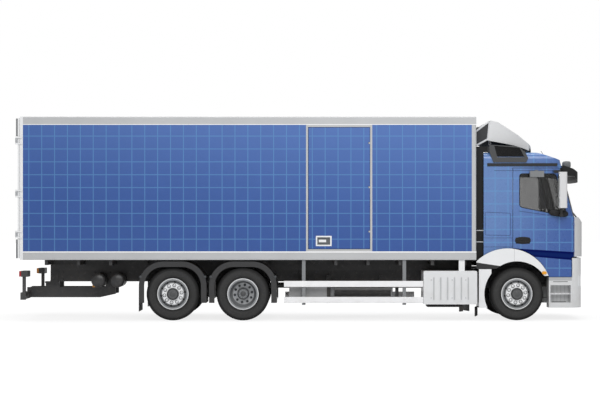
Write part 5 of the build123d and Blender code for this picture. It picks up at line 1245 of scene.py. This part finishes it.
class TRUCK_OT_stage(bpy.types.Operator):
    """Pale floor, soft light and the camera"""
    bl_idname = "truck.stage"
    bl_label = "Stage"

    def execute(self, context):
        scene = context.scene
        s = scene.truck_stage
        scene.view_settings.view_transform = "Standard"
        self.sky(scene, s.sky)
        reach = 120.0
        corners = [(x, y, 0) for x, y in rectangle(-reach, -reach, reach, reach)]
        mesh = bpy.data.meshes.new("floor")
        mesh.from_pydata(corners, [], [(0, 1, 2, 3)])
        mesh.materials.append(self.ground())
        floor = bpy.data.objects.new("floor", mesh)
        scene.collection.objects.link(floor)
        for name, power, place, turn, wide, tall in (
                ("key_lamp", s.key, (2.0, -15.0, 11.0), (radians(58), 0, radians(6)), 16, 8),
                ("far_lamp", s.far, (-2.0, 15.0, 11.0), (radians(-58), 0, 0), 16, 8),
                ("top_lamp", s.top, (0.0, 0.0, 15.0), (0, 0, 0), 16, 6)):
            lamp = bpy.data.lights.new(name, "AREA")
            lamp.shape, lamp.size, lamp.size_y, lamp.energy = "RECTANGLE", wide, tall, power
            holder = bpy.data.objects.new(name, lamp)
            holder.location, holder.rotation_euler = place, turn
            scene.collection.objects.link(holder)
        data = bpy.data.cameras.new("camera")
        data.sensor_fit, data.sensor_width, data.lens, data.shift_y = "HORIZONTAL", 36, s.lens, s.lift
        data.clip_end = 500
        eye = bpy.data.objects.new("camera", data)
        eye.location, eye.rotation_euler = (s.eye_x, s.eye_y, s.eye_z), (radians(90), 0, 0)
        scene.collection.objects.link(eye)
        scene.camera = eye
        return {"FINISHED"}

    def sky(self, scene, strength):
        """White where it is seen, an even light elsewhere."""
        scene.world = bpy.data.worlds.new("sky")
        scene.world.use_nodes = True
        n = Nodes(scene.world.node_tree)
        back = n.tree.nodes["Background"].inputs
        level = n.add("ShaderNodeMapRange", {"Value": n.seen(), "To Min": strength, "To Max": 1.0})
        n.feed(back["Color"], (1, 1, 1))
        n.feed(back["Strength"], level.outputs[0])

    def ground(self):
        """White floor: where it is seen, lit under the truck, so its shadow stays, and plain white far off."""
        f = Finish("floor_white")
        f.give(Base_Color=(0.86, 0.86, 0.86), Roughness=0.9)
        glow = f.add("ShaderNodeEmission", {"Strength": 1.12})
        away = f.add("ShaderNodeVectorMath", {0: f.coords.outputs["Object"]}, operation="LENGTH")
        reach = {"From Min": 6.0, "From Max": 16.0, "To Min": 0.72, "To Max": 1.0}
        spread = f.add("ShaderNodeMapRange", {"Value": away.outputs["Value"], **reach}).outputs[0]
        share = f.both(f.seen(), spread)
        blend = f.add("ShaderNodeMixShader", {0: share, 1: f.shader.outputs[0], 2: glow.outputs[0]})
        f.feed(f.tree.nodes["Material Output"].inputs["Surface"], blend.outputs[0])
        return f.material


STEPS = (TRUCK_OT_finishes, TRUCK_OT_tyres, TRUCK_OT_wheel_nuts, TRUCK_OT_body_fittings,
         TRUCK_OT_chassis_fittings, TRUCK_OT_cab_fittings, TRUCK_OT_seats, TRUCK_OT_stage)
GROUPS = {"truck_sizes": TruckSizes, "truck_colours": TruckColours, "truck_stage": TruckStage}


class TRUCK_PT_steps(bpy.types.Panel):
    """Lists the steps that dress the truck"""
    bl_idname = "TRUCK_PT_steps"
    bl_label = "Box truck"
    bl_space_type = "VIEW_3D"
    bl_region_type = "UI"
    bl_category = "Truck"

    def draw(self, context):
        for step in STEPS:
            self.layout.operator(step.bl_idname)


def register():
    for group in GROUPS.values():
        bpy.utils.register_class(group)
    for name, group in GROUPS.items():
        setattr(bpy.types.Scene, name, PointerProperty(type=group))
    for step in (*STEPS, TRUCK_PT_steps):
        bpy.utils.register_class(step)


def unregister():
    for step in (*STEPS, TRUCK_PT_steps):
        bpy.utils.unregister_class(step)
    for name in GROUPS:
        delattr(bpy.types.Scene, name)
    for group in GROUPS.values():
        bpy.utils.unregister_class(group)


def main():
    register()
    bpy.ops.truck.finishes()
    bpy.ops.truck.tyres()
    bpy.ops.truck.wheel_nuts()
    bpy.ops.truck.body_fittings()
    bpy.ops.truck.chassis_fittings()
    bpy.ops.truck.cab_fittings()
    bpy.ops.truck.seats()
    bpy.ops.truck.stage()


if __name__ == "__main__":
    main()
